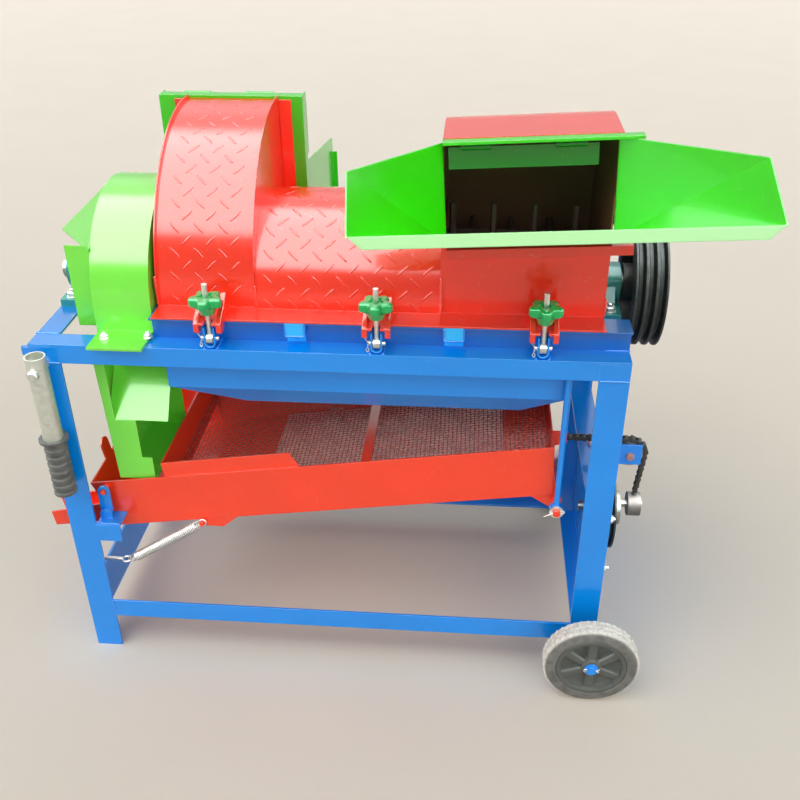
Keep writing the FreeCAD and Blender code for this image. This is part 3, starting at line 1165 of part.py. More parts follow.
def tray():
    wall = s.tray_wall
    front, back = s.tray_front, REAR - s.tray_front
    deep = -s.tray_depth
    side = [(0, 0), (s.tray_low_left, deep), (s.tray_low_right, deep), (s.tray_length, 0)]
    cheeks = both_sides(prism("y", side, front, front + wall))
    floor = box((s.tray_low_left, s.tray_low_right), (front + wall, back - wall), (deep, deep + wall))
    end = prism("y", [
        (s.tray_low_right - wall, deep + wall), (s.tray_low_right, deep + wall), (s.tray_length, 0),
        (s.tray_length - wall, 0),
    ], front + wall, back - wall)
    left_end = box((s.guard_left - wall, s.guard_left), (front + wall, back - wall),
                   (deep + wall, s.guard_rise))
    gate = box((s.guard_left - s.overrun, s.guard_left + s.overrun), (front + wall * 4, back - wall * 4),
               (deep, deep + s.tray_depth / 2))
    left_end = cut(left_end, gate)
    guard = prism("y", [
        (s.guard_left, -s.mesh_drop + wall), (s.guard_right + s.guard_slant, -s.mesh_drop + wall),
        (s.guard_right, s.guard_rise), (s.guard_left, s.guard_rise),
    ], front + wall, front + wall + s.guard_wall)
    low_y = s.spout_front
    spout = box((-s.spout_reach, s.tray_low_left), (low_y, low_y + s.spout_width), (deep, deep + wall))
    spout_sides = [
        prism("y", [
            (-s.spout_reach, deep + wall), (s.tray_low_left, deep + wall),
            (s.tray_low_left, deep + s.spout_rise),
            (-s.spout_reach, deep + s.spout_rise * s.spout_tip_share),
        ], at, at + wall)
        for at in (low_y, low_y + s.spout_width - wall)
    ]
    lip = prism("y", [
        (s.tray_low_left, deep + wall), (s.tray_low_left + wall, deep + wall), (wall, 0), (0, 0),
    ], front + wall, back - wall)
    doorway = box((0, s.tray_low_left + s.overrun), (low_y + wall, low_y + s.spout_width - wall),
                  (deep + wall, deep + s.spout_rise * s.spout_tip_share))
    half_tab = (s.tab_back - s.tab_front) / 2
    tab = prism("x", [
        (s.tab_front, -wall), (s.tab_back, -wall), (s.tab_back, s.tab_rise - half_tab),
        (s.tab_back - half_tab, s.tab_rise, half_tab * s.round_share),
        (s.tab_front, s.tab_rise - half_tab, half_tab * s.round_share),
    ], ZERO, wall)
    lip = fuse(cut(lip, doorway), tab)
    over_mesh = s.mesh_wall - s.mesh_drop + s.fit
    cross_bar = box((s.cross_bar_along - s.cross_bar_width / 2, s.cross_bar_along + s.cross_bar_width / 2),
                    (front + wall, back - wall), (over_mesh, over_mesh + wall))
    guards = both_sides(guard)
    shell = sloped(fuse(cheeks, floor, end, left_end, guards, spout, *spout_sides, lip, cross_bar))
    pin_y = s.hanger_back - s.hanger_eye_half - s.pin_reach
    hanger_pin = rod("y", (s.hanger_pin_across, pin_y, s.hanger_pin_up), s.hanger_pin, REAR - pin_y * 2)
    ears = both_sides(prism("y", [
        tray_point(s.tray_low_right - s.ear_length, deep), tray_point(s.tray_low_right, deep),
        tray_point(s.tray_low_right, deep / 2),
        (s.hanger_pin_across + s.ear_right, s.hanger_pin_up + s.hanger_pin),
        (s.hanger_pin_across + s.ear_right, s.hanger_pin_up - s.ear_right),
        (s.hanger_pin_across - s.ear_side, s.hanger_pin_up - s.ear_right),
    ], front + wall, front + wall * 3))
    pin_front = s.rocker_back - s.rocker_half_wall * 2
    rocker_pins = both_sides(rod("y", (s.rocker_across, pin_front, s.rocker_high), s.rocker_pin,
                                 front + wall - pin_front))
    lug_low = s.crank_back - s.chain_lug_wall / 2
    end_at = tray_point(s.tray_length - wall, 0)
    chain_lug = prism("y", [
        (end_at[0], s.chain_lug_up - s.chain_lug_height),
        (end_at[0] + wall, s.chain_lug_up - s.chain_lug_height),
        (s.chain_lug_across, s.chain_lug_up - s.chain_lug_height / 2),
        (s.chain_lug_across, s.chain_lug_up + s.chain_lug_height / 2),
        (end_at[0], s.chain_lug_up + s.chain_lug_height / 2),
    ], lug_low, lug_low + s.chain_lug_wall)
    spring_lug = prism("y", [
        tray_point(s.spring_lug_left - s.tray_left, deep),
        tray_point(s.spring_lug_right - s.tray_left, deep),
        (s.spring_lug_right - s.spring_hook * 3, s.spring_lug_low),
        (s.spring_high_across - s.spring_hook, s.spring_lug_low),
    ], s.spring_back + s.spring_hook, s.spring_back + s.spring_hook + s.spring_lug_wall)
    stud_front = s.spring_back - s.spring_hook
    stud = rod("y", (s.spring_high_across, stud_front, s.spring_high_up),
               s.spring_hook - s.spring_wire - s.running_gap, s.spring_hook * 2 + s.spring_lug_wall)
    node("screen_tray", fuse(shell, hanger_pin, ears, rocker_pins, chain_lug, spring_lug, stud))
    mesh()


def mesh():
    """The screen: one flat sheet with a grid of square gaps."""
    left, right = s.guard_left.value, s.tray_low_right.value
    front = s.tray_front.value + s.tray_wall.value
    back = REAR.value - front
    across, along = int(s.mesh_across.value), int(s.mesh_along.value)
    wire = s.mesh_wire.value
    height = -s.mesh_drop.value
    step_x = (right - left) / across
    step_y = (back - front) / along
    corner = FreeCAD.Vector(left, front, height)
    face = Part.makePlane(right - left, back - front, corner)
    holes = []
    for column in range(across):
        for row in range(along):
            start = corner + FreeCAD.Vector(step_x * column + wire / 2, step_y * row + wire / 2, 0)
            hole = Part.makePlane(step_x - wire, step_y - wire, start).OuterWire
            hole.reverse()
            holes.append(hole)
    grid = Part.Face([face.OuterWire] + holes)
    item = doc.addObject("Part::Feature", "Screen")
    item.Shape = grid.extrude(FreeCAD.Vector(0, 0, s.mesh_wall.value))
    node("screen_mesh", sloped(item))


def hangers():
    half = s.hanger_eye_half
    eyes = []
    for up, pin in ((s.hanger_top_up, s.hanger_top_pin), (s.hanger_pin_up, s.hanger_pin)):
        eyes.append(turned("y", ring(s.hanger_back - half, s.hanger_back + half, pin + s.running_gap,
                                     s.hanger_eye), (s.hanger_pin_across, 0, up)))
    low = s.hanger_pin_up + s.hanger_eye - s.eye_bite
    bar = rod("z", (s.hanger_pin_across, s.hanger_back, low), s.hanger_rod,
              s.hanger_top_up - s.hanger_eye + s.eye_bite - low)
    node("hangers", both_sides(fuse(bar, *eyes)))


def rockers():
    outline = [
        (s.rocker_across + s.rocker_width, s.rocker_low, s.rocker_width),
        (s.rocker_across + s.rocker_width, s.rocker_high),
        (s.rocker_across, s.rocker_high + s.rocker_width, s.rocker_width),
        (s.rocker_across - s.rocker_width, s.rocker_high, s.rocker_width),
        (s.rocker_across - s.rocker_width, s.rocker_low),
        (s.rocker_across, s.rocker_low - s.rocker_width, s.rocker_width),
    ]
    holes = [
        (s.rocker_across, s.rocker_low, s.rocker_pin + s.running_gap),
        (s.rocker_across, s.rocker_high, s.rocker_pin + s.rocker_play),
    ]
    node("rockers", both_sides(prism("y", outline, s.rocker_back - s.rocker_half_wall,
                                     s.rocker_back + s.rocker_half_wall, holes)))


def arc_from(start, tangent, end):
    """The arc that leaves a point along a tangent and ends at another point."""
    chord = end - start
    along = chord * (1 / chord.Length)
    slope = tangent.dot(along)
    rise = tangent - along * slope
    if rise.Length < 1e-9:
        return Part.makeLine(start, end)
    bend = math.atan2(rise.Length, slope)
    middle = start + chord / 2 + rise.normalize() * (chord.Length / 2 * math.tan(bend / 2))
    return Part.Arc(start, middle, end).toShape()


def biarc(first, second):
    """Two tangent arcs between two places, each a point and a direction."""
    (start, leave), (end, arrive) = first, second
    chord = end - start
    both = leave + arrive
    spread = 2 * (1 - leave.dot(arrive))
    reach = chord.dot(both)
    if spread < 1e-9:
        step = chord.dot(chord) / (4 * chord.dot(arrive))
    else:
        step = (math.sqrt(reach * reach + spread * chord.dot(chord)) - reach) / spread
    joint = (start + leave * step + end - arrive * step) / 2
    turn = arc_from(joint, (end - arrive * step - joint).normalize(), end)
    return [arc_from(start, leave, joint), turn]


def spring_line():
    """The direction and length of the spring, from its lower hook to its upper one."""
    across = s.spring_high_across - s.spring_low_across
    up = s.spring_high_up - s.spring_low_up
    length = root(across * across + up * up)
    return across / length, up / length, length


def tension_spring():
    """A close helix with an open hook at each end, as one wire."""
    low = point(s.spring_low_across, s.spring_back, s.spring_low_up)
    high = point(s.spring_high_across, s.spring_back, s.spring_high_up)
    along = (high - low).normalize()
    side = FreeCAD.Vector(-along.z, 0, along.x)
    deep = FreeCAD.Vector(0, 1, 0)
    wire, coil, hook = s.spring_wire.value, s.spring_coil.value, s.spring_hook.value
    turns = int(s.spring_turns.value)
    start = low + along * hook * 2
    pitch = ((high - low).Length - hook * 4) / turns

    def coil_at(turn):
        angle = 2 * math.pi * turn
        out = side * math.cos(angle) + deep * math.sin(angle)
        forward = deep * math.cos(angle) - side * math.sin(angle)
        speed = forward * (2 * math.pi * coil) + along * pitch
        return start + along * pitch * turn + out * coil, speed.normalize()

    def hook_at(centre, degrees):
        angle = math.radians(degrees)
        out = along * math.cos(angle) + side * math.sin(angle)
        return centre + out * hook, along * math.sin(angle) - side * math.cos(angle)

    stations = [hook_at(low, degrees) for degrees in (360, 270, 180, 90)]
    stations += [coil_at(number / 4) for number in range(turns * 4 + 1)]
    stations += [hook_at(high, degrees) for degrees in (90, 0, -90, -180)]
    edges = [edge for first, second in zip(stations, stations[1:]) for edge in biarc(first, second)]
    gap = pitch * math.cos(math.atan2(pitch, 2 * math.pi * coil)) - wire * 2
    print("spring turns", turns, "pitch", round(pitch, 2), "least gap to itself", round(gap, 2))
    path = Part.Wire(edges)
    section = Part.Wire(Part.Circle(stations[0][0], stations[0][1], wire).toShape())
    item = doc.addObject("Part::Feature", "Spring")
    item.Shape = path.makePipeShell([section], True, False)
    print("spring volume", round(item.Shape.Volume), "against", round(math.pi * wire ** 2 * path.Length))
    node("tension_spring", item)


def eye_bolt():
    """A bolt through the leg whose ring holds the lower hook of the spring."""
    across, up, _ = spring_line()
    bearing = s.spring_hook - s.spring_wire - s.eye_ring_wire - s.running_gap
    rim = (s.spring_low_across - across * bearing, s.spring_low_up - up * bearing)
    centre = (rim[0] - s.eye_ring, s.spring_back, rim[1])
    eye = doc.addObject("Part::Torus", "Eye")
    bind(eye, "Radius1", s.eye_ring)
    bind(eye, "Radius2", s.eye_ring_wire)
    place(eye, centre)
    shank = rod("x", (s.eye_left, s.spring_back, rim[1]), s.eye_bolt,
                centre[0] - s.eye_ring - s.eye_left)
    nut = doc.addObject("Part::Prism", "Nut")
    nut.Polygon = 6
    bind(nut, "Circumradius", s.eye_nut_radius)
    bind(nut, "Height", s.eye_nut)
    place(nut, (-s.eye_nut, s.spring_back, rim[1]), TURNS["x"])
    node("spring_eye_bolt", fuse(shank, eye, nut))


def crank():
    start = (0, s.crank_back, s.crank_up)
    shaft = turned("x", [
        (s.crank_left, 0), (s.crank_disc_right, 0), (s.crank_disc_right, s.crank_disc),
        (s.crank_disc_left, s.crank_disc), (s.crank_disc_left, s.crank_radius),
        (s.crank_left, s.crank_radius),
    ], start)
    pin = rod("x", (s.crank_disc_right, s.crank_back, s.crank_up + s.crank_throw), s.crank_pin,
              s.crank_right - s.crank_disc_right)
    node("crank_shaft", fuse(shaft, pin))
    edge = s.frame_length - s.leg_wall
    bearing = turned("x", [
        (s.crank_boss_left, s.crank_radius + s.fit), (edge + s.crank_bearing_wall, s.crank_radius + s.fit),
        (edge + s.crank_bearing_wall, s.crank_bearing), (edge, s.crank_bearing), (edge, s.crank_boss),
        (s.crank_boss_left, s.crank_boss),
    ], start)
    node("crank_bearing", bearing)
    middle = (s.sheave_left + s.sheave_right) / 2
    half = s.sheave_web / 2
    gap = s.sheave_groove / 2
    hub_right = s.crank_disc_left - s.running_gap
    sheave = turned("x", [
        (s.sheave_left, s.sheave_rim), (s.sheave_left, s.sheave_radius), (middle - gap, s.sheave_radius),
        (middle - gap / 2, s.sheave_radius - s.sheave_groove),
        (middle + gap / 2, s.sheave_radius - s.sheave_groove),
        (middle + gap, s.sheave_radius), (s.sheave_right, s.sheave_radius), (s.sheave_right, s.sheave_rim),
        (middle + half, s.sheave_rim), (middle + half, s.sheave_hub), (hub_right, s.sheave_hub),
        (hub_right, s.crank_radius + s.fit), (s.sheave_left, s.crank_radius + s.fit),
        (s.sheave_left, s.sheave_hub), (middle - half, s.sheave_hub), (middle - half, s.sheave_rim),
    ], start)
    hole = rod("x", (s.sheave_left, s.crank_back, s.crank_up + s.sheave_hole_circle), s.sheave_hole,
               s.sheave_right - s.sheave_left)
    node("crank_pulley", cut(sheave, *around(4, hole, "x", start)))
    pin_start = (0, s.crank_back, s.crank_up + s.crank_throw)
    eye = turned("x", ring(s.ring_left, s.ring_right, s.crank_pin + s.fit, s.ring_radius), pin_start)
    ring_middle = (s.ring_left + s.ring_right) / 2
    low = s.crank_up + s.crank_throw + s.ring_radius - s.ring_bite
    stud = rod("z", (ring_middle, s.crank_back, low), s.ring_stud, s.ring_stud_top - low)
    node("connecting_ring", fuse(eye, stud))


def chain_route():
    """The chain's centre line: over the rail, round the roller and down to the ring."""
    start = ((s.chain_lug_across + s.chain_roller + s.running_gap).value, s.chain_lug_up.value)
    centre = (s.roller_across.value, s.roller_up.value)
    run = s.roller_run.value
    down = (centre[0] + run, centre[1])
    end_up = s.ring_stud_top + s.chain_plate + s.running_gap
    end = (((s.ring_left + s.ring_right) / 2).value, end_up.value)
    points = []
    reach = math.hypot(centre[0] - start[0], centre[1] - start[1])
    bearing = math.atan2(centre[1] - start[1], centre[0] - start[0])
    lift = bearing + math.pi - math.acos(run / reach)
    first = (centre[0] + run * math.cos(lift), centre[1] + run * math.sin(lift))
    straight = math.hypot(first[0] - start[0], first[1] - start[1])
    arc = lift * run
    drop = math.hypot(down[0] - end[0], down[1] - end[1])
    total = straight + arc + drop
    count = round(total / s.chain_pitch.value)
    for number in range(count + 1):
        gone = total * number / count
        if gone < straight:
            share = gone / straight
            points.append((start[0] + (first[0] - start[0]) * share,
                           start[1] + (first[1] - start[1]) * share))
        elif gone < straight + arc:
            angle = lift - (gone - straight) / run
            points.append((centre[0] + run * math.cos(angle), centre[1] + run * math.sin(angle)))
        else:
            share = (gone - straight - arc) / drop
            points.append((down[0] + (end[0] - down[0]) * share, down[1] + (end[1] - down[1]) * share))
    return points


def pull_chain():
    """A roller chain of pinned links."""
    points = [FreeCAD.Vector(x, s.crank_back.value, z) for x, z in chain_route()]
    wall, half = s.chain_plate_wall.value, s.chain_plate.value
    parts = []
    for number, (first, second) in enumerate(zip(points, points[1:])):
        along = (second - first).normalize()
        up = FreeCAD.Vector(-along.z, 0, along.x)
        offset = s.chain_inner.value + (wall if number % 2 else 0)
        for side in (-1, 1):
            base = FreeCAD.Vector(0, side * offset - (wall if side < 0 else 0), 0)
            a, b, c, d = (first + up * half, first - up * half, second - up * half, second + up * half)
            outline = Part.Wire([
                Part.Arc(a, first - along * half, b).toShape(), Part.makeLine(b, c),
                Part.Arc(c, second + along * half, d).toShape(), Part.makeLine(d, a),
            ])
            plate = Part.Face(outline).extrude(FreeCAD.Vector(0, wall, 0))
            plate.translate(base)
            parts.append(plate)
    reach = s.chain_inner.value + wall * 2
    for place_at in points:
        start = place_at - FreeCAD.Vector(0, reach, 0)
        parts.append(Part.makeCylinder(s.chain_roller.value, s.chain_inner.value * 2,
                                       place_at - FreeCAD.Vector(0, s.chain_inner.value, 0),
                                       FreeCAD.Vector(0, 1, 0)))
        parts.append(Part.makeCylinder(s.chain_pin.value, reach * 2, start, FreeCAD.Vector(0, 1, 0)))
    item = doc.addObject("Part::Feature", "Chain")
    item.Shape = parts[0].fuse(parts[1:])
    node("pull_chain", item)


def chain_roller():
    half = s.roller_half
    start = (s.roller_across, s.crank_back, s.roller_up)
    outline = [
        (-half, s.roller_pin + s.fit), (half, s.roller_pin + s.fit), (half, s.roller_radius),
        (half / 2, s.roller_radius), (half / 2, s.roller_radius - s.chain_pin),
        (-half / 2, s.roller_radius - s.chain_pin), (-half / 2, s.roller_radius), (-half, s.roller_radius),
    ]
    node("chain_roller", turned("y", outline, start))


def handles():
    top = s.handle_up + s.handle_above
    low = top - s.handle_length
    centre = (s.handle_across, s.handle_back, 0)
    tube = turned("z", ring(low, top, s.handle_radius - s.handle_wall, s.handle_radius), centre)
    hole = rod("y", (s.handle_across, s.handle_back - s.handle_radius * 2, s.handle_up),
               s.handle_bolt + s.fit, s.handle_radius * 4)
    tube = cut(tube, hole)
    grip_low = low - s.grip_length + s.overrun
    start = low + s.overrun
    outline = [(grip_low, 0), (start, 0), (start, s.grip_flange),
               (start - s.grip_flange_wall, s.grip_flange),
               (start - s.grip_flange_wall, s.grip_radius)]
    count = int(s.grip_ribs.value)
    step = (s.grip_length - s.grip_flange_wall * 2) / count
    for number in range(count):
        at = start - s.grip_flange_wall - step * number
        outline += [
            (at - step * s.rib_flat_share, s.grip_radius),
            (at - step * s.rib_fall_share, s.grip_radius - s.grip_rib),
            (at - step * s.rib_low_share, s.grip_radius - s.grip_rib), (at - step, s.grip_radius),
        ]
    outline += [(grip_low, s.grip_radius)]
    grip = turned("z", outline, centre)
    socket = rod("z", (s.handle_across, s.handle_back, low), s.handle_radius, s.overrun * 2)
    grip = cut(grip, socket)
    bolt = turned("y", [
        (s.handle_back - s.handle_radius - s.hook_wall, 0), (s.leg_wall * 2, 0),
        (s.leg_wall * 2, s.bolt_head),
        (s.leg_wall, s.bolt_head), (s.leg_wall, s.handle_bolt), (0, s.handle_bolt),
        (0, s.bolt_shoulder), (s.handle_back + s.handle_radius + s.running_gap, s.bolt_shoulder),
        (s.handle_back + s.handle_radius + s.running_gap, s.handle_bolt),
        (s.handle_back - s.handle_radius - s.running_gap, s.handle_bolt),
        (s.handle_back - s.handle_radius - s.running_gap, s.bolt_head),
        (s.handle_back - s.handle_radius - s.hook_wall, s.bolt_head),
    ], (s.handle_across, 0, s.handle_up))
    node("handle_bolts", both_sides(bolt))
    node("handle_tube_front", copy_of(tube))
    node("handle_grip_front", copy_of(grip))
    node("handle_tube_rear", mirrored(tube, "y", MIDDLE))
    node("handle_grip_rear", mirrored(grip, "y", MIDDLE))


for build in (
    legs, top_rails, low_rails, crank_side, brackets, wheels, casing, funnel, thrower, drum_cover,
    feed_box, hopper, outlet, blower, rotor, clamps, tray, hangers, rockers, tension_spring,
    eye_bolt, crank, pull_chain, chain_roller, handles,
):
    build()

doc.recompute()
faults = [f"{item.Name} {item.Label}" for item in doc.Objects if {"Invalid", "Error"} & set(item.State)]
for name, item in NODES.items():
    if item.Shape.isNull() or not item.Shape.isValid() or not item.Shape.Solids:
        faults.append(name)
if faults:
    raise ValueError("these pieces failed: " + ", ".join(faults))

os.makedirs("parts", exist_ok=True)
for name, item in NODES.items():
    item.Shape.exportStep(f"parts/{name}.step")
print(len(NODES), "pieces written")
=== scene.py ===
import math

import bmesh
import bpy
from mathutils import Matrix, Vector


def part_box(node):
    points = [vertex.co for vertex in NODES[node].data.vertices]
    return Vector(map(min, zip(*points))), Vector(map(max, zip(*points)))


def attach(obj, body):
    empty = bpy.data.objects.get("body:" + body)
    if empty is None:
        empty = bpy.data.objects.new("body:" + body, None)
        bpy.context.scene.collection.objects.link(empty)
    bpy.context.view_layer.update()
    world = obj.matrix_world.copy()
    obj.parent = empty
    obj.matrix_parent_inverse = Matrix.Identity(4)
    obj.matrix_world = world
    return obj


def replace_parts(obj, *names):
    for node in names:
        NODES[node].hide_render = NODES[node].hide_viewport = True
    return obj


bl_info = {
    "name": "Threshing machine",
    "version": (1, 0, 0),
    "blender": (4, 5, 0),
    "location": "View3D > Sidebar > Thresher",
    "description": "Enamel, checker plate, woven screen, wheels and fittings of a small threshing machine",
    "category": "Object",
}

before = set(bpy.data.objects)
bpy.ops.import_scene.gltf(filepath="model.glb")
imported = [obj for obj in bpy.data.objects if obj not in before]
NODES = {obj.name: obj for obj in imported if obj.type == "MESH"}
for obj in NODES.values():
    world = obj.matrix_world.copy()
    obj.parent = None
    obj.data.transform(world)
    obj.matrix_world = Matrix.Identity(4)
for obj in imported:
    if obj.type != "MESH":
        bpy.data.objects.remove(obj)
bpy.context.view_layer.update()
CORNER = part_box("left_legs")[0]
MM = 0.001
SLOPE = math.radians(8)
TRAY_CORNER = (34, 376)
SHAFT = (225, 736)
THROWER = (350, 736)
CLAMPS = (312, 588, 857)
CLAMP_BACK = 10
CASING_STRAPS = (450, 713)
FEED_WALL = 76.5
LIP_FRONT = -100
WHEEL_ACROSS, WHEEL_RADIUS = 986, 89
CHAIN_PITCH = 12.7
CAMERA_PLACE = (0.19066, -1.64794, 1.42962)
CAMERA_YAW, CAMERA_PITCH, CAMERA_ROLL = -0.0837453, 0.5454006, -0.00815869
FOCAL_PIXELS, PHOTO_PIXELS = 942.5236, 800
FILM_WIDTH = 36


def at(across, back, up):
    """A place on the machine, in millimetres from the outer foot of its front left leg."""
    return CORNER + Vector((across, back, up)) * MM


def on_tray(along, back, rise):
    """A place on the sloping tray, from the top of its left end."""
    across = TRAY_CORNER[0] + along * math.cos(SLOPE) - rise * math.sin(SLOPE)
    up = TRAY_CORNER[1] + along * math.sin(SLOPE) + rise * math.cos(SLOPE)
    return at(across, back, up)


def linear(code):
    """The linear colour of an sRGB hex value."""
    parts = [int(code[place:place + 2], 16) / 255 for place in (1, 3, 5)]
    return tuple(p / 12.92 if p <= 0.04045 else ((p + 0.055) / 1.055) ** 2.4 for p in parts)


def colour(name, description, code):
    """A colour that the user can change."""
    return bpy.props.FloatVectorProperty(name=name, description=description, default=linear(code),
                                         size=3, min=0, max=1, subtype="COLOR")


def length(name, description, millimetres, low=0.0, high=1000.0):
    """A length that the user can change."""
    return bpy.props.FloatProperty(name=name, description=description, default=millimetres * MM,
                                   min=low * MM, max=high * MM, unit="LENGTH", subtype="DISTANCE")


class ThresherColours(bpy.types.PropertyGroup):
    frame_blue: colour("Frame blue", "Enamel of the angle iron frame", "#0088E6")
    # Casing blue is darker partly as painted shade under the flange above it.
    casing_shaded_blue: colour("Casing blue", "Darker blue of the casing under the drum, partly painted shade from the flange above", "#0064B4")
    # Strap blue: a lighter blue painted on the two straps of the casing.
    strap_blue: colour("Strap blue", "Lighter blue on the two straps of the casing", "#18B4F4")
    cover_red: colour("Cover red", "Enamel of the covers over the drum", "#E8361C")
    # Throat brown: straw stain, and painted shade for the dark deep inside of the feed mouth.
    throat: colour("Throat brown", "Straw and grease stain with painted shade deep inside the feed mouth", "#6A5444")
    drum_brown: colour("Drum brown", "Worn paint and grease on the pegged drum", "#43342C")
    tray_red: colour("Tray red", "Enamel of the shaking tray", "#F23C18")
    hopper_green: colour("Hopper green", "Enamel of the hopper and the outlet", "#38C806")
    # Flap green is darkened as painted shade: the flap sits in shadow inside the feed mouth.
    flap_shaded_green: colour("Flap green", "Green darkened as painted shade on the flap in the feed mouth", "#046404")
    # Lip mint is a painted reflection of the sky on the front of the hopper lip.
    lip_painted_sheen: colour("Lip mint", "Painted reflection of the sky on the fold of the hopper lip", "#B8F4B0")
    fan_green: colour("Fan green", "Lighter enamel of the fan housing and its duct", "#76DE44")
    bearing_teal: colour("Bearing teal", "Factory paint of the bearing blocks", "#1E8C86")
    pulley_black: colour("Pulley black", "Bare cast iron darkened by oil", "#2A2E2C")
    steel: colour("Bright steel", "Turned steel of the shafts", "#A9ABA6")
    dull_steel: colour("Dull steel", "Turned steel that has dulled outdoors", "#7E7A75")
    chain: colour("Chain steel", "Oiled steel of the roller chain", "#4C4A46")
    zinc: colour("Zinc plate", "Plating of the bolts, nuts and pins", "#D6D7CF")
    tube: colour("Galvanised tube", "Hot dipped zinc of the handle tubes", "#C9CCC0")
    screen: colour("Screen wire", "Wire of the woven screen, red with rust and paint", "#A84A40")
    # Sieve plate is paler than zinc alone: painted sunlight falling through the screen.
    sieve: colour("Sieve plate", "Galvanised sheet of the lower sieve, lightened as painted sunlight", "#F2EAE4")
    tyre: colour("Tyre rubber", "Solid rubber of the wheels", "#4A4A46")
    dust: colour("Dust", "Dry dust on the tyres and the tray", "#D9D6CC")
    wheel: colour("Wheel plastic", "Moulded plastic of the wheel discs", "#4B4E49")
    grip: colour("Grip rubber", "Moulded rubber of the handle grips", "#3A3C3A")
    knob: colour("Knob green", "Moulded plastic of the star knobs", "#00A854")
    primer: colour("Primer pink", "Rusty primer on bare bolt heads", "#B08478")
    floor: colour("Floor", "Pale plain floor", "#C6BEB1")


class ThresherSizes(bpy.types.PropertyGroup):
    tread_pitch: length("Tread pitch", "Spacing of checker plate bars of one direction", 41, 10, 80)
    tread_length: length("Tread bar length", "Length of one raised bar", 25, 5, 60)
    tread_width: length("Tread bar width", "Width of one raised bar", 4.2, 1, 12)
    tread_height: length("Tread bar height", "Height of one raised bar over the sheet", 0.8, 0.2, 4)
    wire_pitch: length("Wire pitch", "Spacing of the screen's wires", 8.3, 4, 30)
    wire_radius: length("Wire radius", "Half the thickness of a screen wire", 0.9, 0.3, 2)
    weld_width: length("Weld width", "Width of a weld bead", 5, 1, 12)
    weld_step: length("Weld step", "Spacing of the ripples of a weld bead", 2.2, 1, 8)
    block_height: length("Tread block height", "Height of the blocks of the tyre tread", 1.6, 0.2, 4)
    knob_reach: length("Knob reach", "Distance from the bolt to the tip of a knob lobe", 28.5, 15, 32)


def add(tree, kind, inputs=None, **settings):
    """Add a node, set it, and give each input a value or the socket that feeds it."""
    made = tree.nodes.new(kind)
    for name, value in settings.items():
        setattr(made, name, value)
    for name, value in (inputs or {}).items():
        if isinstance(value, bpy.types.NodeSocket):
            tree.links.new(value, made.inputs[name])
        else:
            made.inputs[name].default_value = value
    return made


def new_finish(name, roughness, metallic=0.0, coat=0.0, coat_roughness=0.1):
    """A material with its tree, its shader and the coordinates of the piece."""
    material = bpy.data.materials.new(name)
    material.use_nodes = True
    tree = material.node_tree
    shader = tree.nodes["Principled BSDF"]
    shader.inputs["Roughness"].default_value = roughness
    shader.inputs["Metallic"].default_value = metallic
    shader.inputs["Coat Weight"].default_value = coat
    shader.inputs["Coat Roughness"].default_value = coat_roughness
    place = add(tree, "ShaderNodeTexCoord").outputs["Object"]
    return material, tree, shader, place


def noise(tree, place, millimetres, detail=2.0, low=0.35, high=0.65):
    """Cloudy patches of a real size, stretched to run from 0 to 1."""
    cloud = add(tree, "ShaderNodeTexNoise", {
        "Vector": place, "Scale": 1 / (millimetres * MM), "Detail": detail})
    spread = add(tree, "ShaderNodeMapRange", {"Value": cloud.outputs[0], "From Min": low, "From Max": high})
    return spread.outputs["Result"]


def opaque(shade):
    return (*shade, 1.0)


def toned(shade, factor):
    """A darker or lighter tone of a colour."""
    return (*(min(1.0, part * factor) for part in shade), 1.0)


def edge_mask(tree, radius, low=0.03, high=0.35):
    """Where a corner is, found from how far a rounded normal turns away from the face."""
    rounded = add(tree, "ShaderNodeBevel", {"Radius": radius * MM}, samples=4).outputs["Normal"]
    face = add(tree, "ShaderNodeNewGeometry").outputs["Normal"]
    agree = add(tree, "ShaderNodeVectorMath", {0: rounded, 1: face}, operation="DOT_PRODUCT").outputs["Value"]
    turned_away = add(tree, "ShaderNodeMath", {0: 1.0, 1: agree}, operation="SUBTRACT").outputs[0]
    mask = add(tree, "ShaderNodeMapRange", {"Value": turned_away, "From Min": low, "From Max": high})
    return mask.outputs["Result"], rounded


